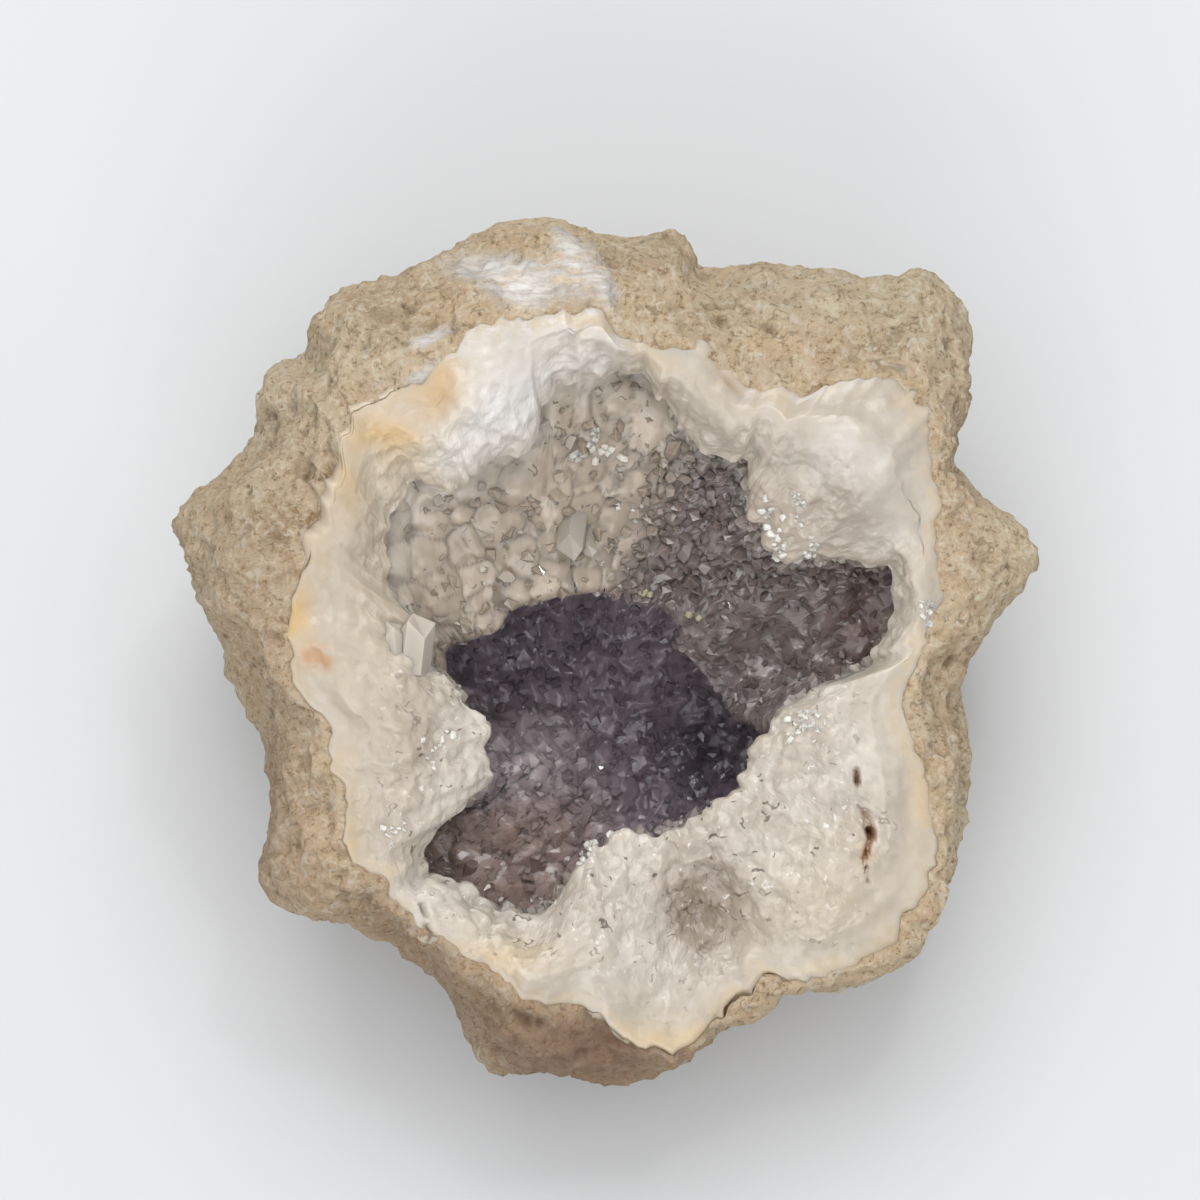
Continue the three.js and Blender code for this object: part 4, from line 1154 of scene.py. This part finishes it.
# %% [markdown]
# ## Weathered limestone
#
# The rind is dull and dry: high roughness, no coat, and a tan colour that turns peach in places.
# Fine noise paints the low spots of its relief dark and the high spots pale, as painted shade and
# painted light, and thin curls and flecks lie over them. The same noise drives the bump, so that
# what is painted dark also lies deeper.

# %% Rind finish
rind_finish, tree, shader = finish("weathered_limestone")
tone = stretched(tree, noise(tree, 60, 6.0, 0.7), 0.35, 0.65)
base = mixed(tree, tone, (0.73, 0.565, 0.365), (0.89, 0.73, 0.50))
clouds = times(tree, stretched(tree, noise(tree, 45, 3.0), 0.5, 0.68), 0.6)
peach = math_of(tree, "MAXIMUM", clouds, times(tree, read(tree, "near_rim"), 0.6))
peach = math_of(tree, "MAXIMUM", peach, times(tree, read(tree, "peach"), 0.9))
base = mixed(tree, peach, base, (0.88, 0.635, 0.39))
frayed = stretched(tree, noise(tree, 240, 5.0, 0.7), 0.45, 0.6, 0.0, 1.5)
frayed = stretched(tree, times(tree, read(tree, "near_rim"), frayed), 0.3, 0.95, 0.0, 0.6)
base = mixed(tree, frayed, base, (0.86, 0.70, 0.50))
relief = noise(tree, 1000, 6.0, 0.8)
# Painted shade in the lows of the fine relief and painted light on its highs.
base = mixed(tree, stretched(tree, relief, 0.46, 0.36, 0.0, 0.85), base, (0.34, 0.215, 0.105))
base = mixed(tree, stretched(tree, relief, 0.525, 0.61, 0.0, 0.75), base, (1.0, 0.885, 0.68))
base = over(tree, base, (1.0, 0.91, 0.74), curls(tree, 420, 0.55), 0.6)
base = over(tree, base, (0.27, 0.17, 0.09), curls(tree, 520, 0.585), 0.45)
rusty = stretched(tree, noise(tree, 520, 5.0, 0.7), 0.5, 0.58)
base = over(tree, base, (0.40, 0.215, 0.09), times(tree, read(tree, "iron"), rusty), 0.75)
flecks = stretched(tree, noise(tree, 420, 4.0, 0.7), 0.34, 0.29)
base = over(tree, base, (0.16, 0.105, 0.06), flecks, 0.6)
# Painted shade in the pits, grooves and low spots of the rind.
base = mixed(tree, stretched(tree, read(tree, "pit_shade"), 0.42, 1.1), base, (0.27, 0.18, 0.105))
blotches = stretched(tree, noise(tree, 150, 6.0, 0.75), 0.42, 0.33, 0.0, 0.5)
base = mixed(tree, blotches, base, (0.42, 0.285, 0.165))
# Reddish brown of the rock and painted shade on the near flank and the left side.
base = over(tree, base, (0.27, 0.145, 0.095), read(tree, "flank"), 0.65)
streaks = stretched(tree, noise(tree, 420, 6.0, 0.75, (0.35, 1.0, 0.6)), 0.35, 0.6, 0.4, 1.5)
fibres = stretched(tree, times(tree, read(tree, "vein"), streaks), 0.15, 0.8, 0.0, 0.97)
threads = stretched(tree, noise(tree, 1300, 4.0, 0.7, (0.2, 1.0, 0.6)), 0.4, 0.6)
base = mixed(tree, fibres, base, mixed(tree, threads, (0.58, 0.53, 0.475), (0.80, 0.77, 0.73)))
tree.links.new(base, shader.inputs["Base Color"])
shader.inputs["Roughness"].default_value = 0.92
shader.inputs["Specular IOR Level"].default_value = 0.25
smoother = stretched(tree, read(tree, "vein"), 0.0, 1.0, 1.0, 0.3)
bump(tree, shader, times(tree, relief, smoother), 1.0, 0.002)
rind_stone.data.materials.append(rind_finish)

# %% [markdown]
# ## Milky quartz
#
# Quartz is different, because light goes into it. The band scatters the light just under its
# surface, which softens every edge and shade. It is whitest on its domes, and greyer in a strip
# along the rind, where it is more see-through. Thin pale curls, which are painted glints, and dark
# curls stand for grains that are too small to be modelled.

# %% Milky quartz finish
def quartz(shader, rough, clear, inside, radius, scale):
    """Quartz on the shader's own sockets: gloss, the share of light let through, and how much of
    it wanders under the surface, how far for red, green and blue."""
    values = {
        "Roughness": rough, "IOR": 1.54, "Transmission Weight": clear,
        "Subsurface Weight": inside, "Subsurface Radius": radius, "Subsurface Scale": scale}
    for socket, value in values.items():
        shader.inputs[socket].default_value = value


# Stains of the quartz, and painted shade in the small hollow (vug).
STAINS_AND_SHADE = [
    ("rust", 0.95, (0.42, 0.17, 0.02)), ("brown", 0.95, (0.20, 0.09, 0.045)),
    ("shade", 0.5, (0.34, 0.285, 0.225)), ("beige", 0.7, (0.38, 0.325, 0.26)),
    ("vug", 0.95, (0.235, 0.185, 0.138))]
milky_finish, tree, shader = finish("milky_quartz")
milkier = stretched(tree, noise(tree, 90, 4.0, 0.55), 0.35, 0.65)
base = mixed(tree, milkier, (0.36, 0.315, 0.26), (0.505, 0.465, 0.41))
snowy = stretched(tree, noise(tree, 150, 4.0), 0.3, 0.6, 0.6, 1.2)
snowy = stretched(tree, times(tree, read(tree, "bright"), snowy), 0.3, 0.65)
base = mixed(tree, snowy, base, (0.58, 0.56, 0.54))
base = over(tree, base, (0.54, 0.45, 0.31), read(tree, "cream"), 0.75)
base = over(tree, base, (0.42, 0.37, 0.30), read(tree, "translucent"), 0.6)
seep = stretched(tree, noise(tree, 190, 6.0, 0.75), 0.42, 0.6, 0.0, 1.5)
seep = stretched(tree, times(tree, read(tree, "near_rim"), seep), 0.2, 0.9, 0.0, 0.75)
base = mixed(tree, seep, base, (0.47, 0.38, 0.265))
patchy = stretched(tree, noise(tree, 260, 4.0, 0.6), 0.3, 0.6, 0.35, 1.2)
base = over(tree, base, (0.52, 0.335, 0.11), read(tree, "yellow"), patchy)
base = over(tree, base, (0.46, 0.33, 0.19), read(tree, "tan"), patchy)
for name, weight, colour in STAINS_AND_SHADE:
    base = over(tree, base, colour, read(tree, name), weight)
# Painted glints: thin pale curls on the coarse quartz.
painted_glints = times(tree, curls(tree, 760, 0.65), read(tree, "coarse"))
base = over(tree, base, (0.70, 0.69, 0.67), painted_glints, 0.6)
marks = times(tree, curls(tree, 620, 0.64), read(tree, "coarse"))
marks = math_of(tree, "MAXIMUM", marks, times(tree, curls(tree, 470, 0.54), read(tree, "vug")))
base = over(tree, base, (0.10, 0.075, 0.06), marks, 0.85)
tree.links.new(base, shader.inputs["Base Color"])
quartz(shader, 0.3, 0.0, 0.65, (1.0, 0.95, 0.9), 0.0035)
bump(tree, shader, noise(tree, 700, 4.0, 0.7), 0.3, 0.0004)
milky_band.data.materials.append(milky_finish)

# %% [markdown]
# ## Crystals
#
# All crystals share one finish and differ in how much light they let through and in their tint,
# which each point carries from its place. That gives them their glassy depth. The lining under them
# is rougher and lets no light through, but scatters it.

# %% Crystal finish
def crystal_finish(name, clear, rough):
    """Quartz points: colour from the tint, a share of light let through, and sharp gloss."""
    material, tree, shader = finish(name)
    tree.links.new(read(tree, "tint", "Color"), shader.inputs["Base Color"])
    quartz(shader, rough, clear, 0.75, (1.0, 0.9, 0.9), 0.0025)
    return material


gallery.data.materials.append(crystal_finish("grey_beige_points", 0.25, 0.12))
fine.data.materials.append(crystal_finish("fine_grey_points", 0.2, 0.12))
chamber.data.materials.append(crystal_finish("smoky_purple_points", 0.25, 0.12))
clear.data.materials.append(crystal_finish("clear_quartz", 0.6, 0.08))
white_points = crystal_finish("white_points", 0.0, 0.3)
for piece in (block, cluster, white_grains_and_glints):
    piece.data.materials.append(white_points)
drops.data.materials.append(crystal_finish("yellowish_points", 0.2, 0.15))

# %% Crust finish
crust_finish, tree, shader = finish("crust_between_points")
base = over(tree, read(tree, "tint", "Color"), (0.06, 0.045, 0.045), curls(tree, 560, 0.62), 0.65)
tree.links.new(base, shader.inputs["Base Color"])
quartz(shader, 0.22, 0.0, 0.8, (1.0, 0.9, 0.9), 0.004)
lining.data.materials.append(crust_finish)

# %% [markdown]
# ## Floor and light
#
# The stone lies on a pale table in the soft light of a room: a window behind it, the ceiling above,
# and a weaker light from the near side. A small lamp gives the crystals their sparkles.

# %% Table
mesh = bpy.data.meshes.new("table")
mesh.from_pydata([(-3, -3, 0), (3, -3, 0), (3, 3, 0), (-3, 3, 0)], [], [(0, 1, 2, 3)])
table = bpy.data.objects.new("table", mesh)
bpy.context.scene.collection.objects.link(table)
table_finish, tree, shader = finish("pale_table")
shader.inputs["Base Color"].default_value = (0.505, 0.51, 0.515, 1)
shader.inputs["Roughness"].default_value = 0.8
table.data.materials.append(table_finish)

# %% Lights
def area_light(name, place, target, size, power):
    """A square soft light of that size in metres at `place`, turned to `target`."""
    lamp = bpy.data.lights.new(name, "AREA")
    lamp.size = size
    lamp.energy = power
    holder = bpy.data.objects.new(name, lamp)
    holder.location = place
    way = np.array(target, float) - np.array(place, float)
    down = math.acos(-way[2] / np.linalg.norm(way))
    holder.rotation_euler = (down, 0, math.atan2(-way[0], way[1]))
    bpy.context.scene.collection.objects.link(holder)
    print(name, "at", place)


area_light("window", (-0.05, 0.7, 1.0), (0, 0, 0.03), 0.8, 7.0)
area_light("ceiling", (-0.05, 0.2, 1.4), (0, 0, 0.03), 1.4, 7.5)
area_light("near_fill", (-0.1, -0.9, 0.7), (0, 0, 0.0), 0.8, 5.5)
area_light("glint", (0.2, 0.35, 1.1), (0, 0, 0.03), 0.08, 0.8)

# %% The room's own light
world = bpy.data.worlds.new("soft_room")
bpy.context.scene.world = world
world.use_nodes = True
background = world.node_tree.nodes["Background"]
background.inputs["Color"].default_value = (0.97, 0.98, 1.0, 1)
background.inputs["Strength"].default_value = 0.77

# %% [markdown]
# ## Camera
#
# The camera looks almost straight down into the hollow, along the face's own z, through a long
# lens, so that near and far parts of the stone keep their true proportions.

# %% Camera
DISTANCE = 1.0    # metres from the face's middle
ACROSS = 0.150    # metres that the picture spans there
middle = set_down(np.array([0.0, 0.0, 0.0]))
lens = bpy.data.cameras.new("camera")
lens.sensor_width = 36
lens.lens = lens.sensor_width * DISTANCE / ACROSS
eye = bpy.data.objects.new("camera", lens)
eye.location = middle + DISTANCE * np.array([0, -math.sin(LEAN), math.cos(LEAN)])
eye.rotation_euler = (LEAN, 0, 0)
bpy.context.scene.collection.objects.link(eye)
bpy.context.scene.camera = eye
bpy.context.scene.view_settings.view_transform = "Standard"
print("The camera stands at", eye.location, "with a lens of", lens.lens, "mm")
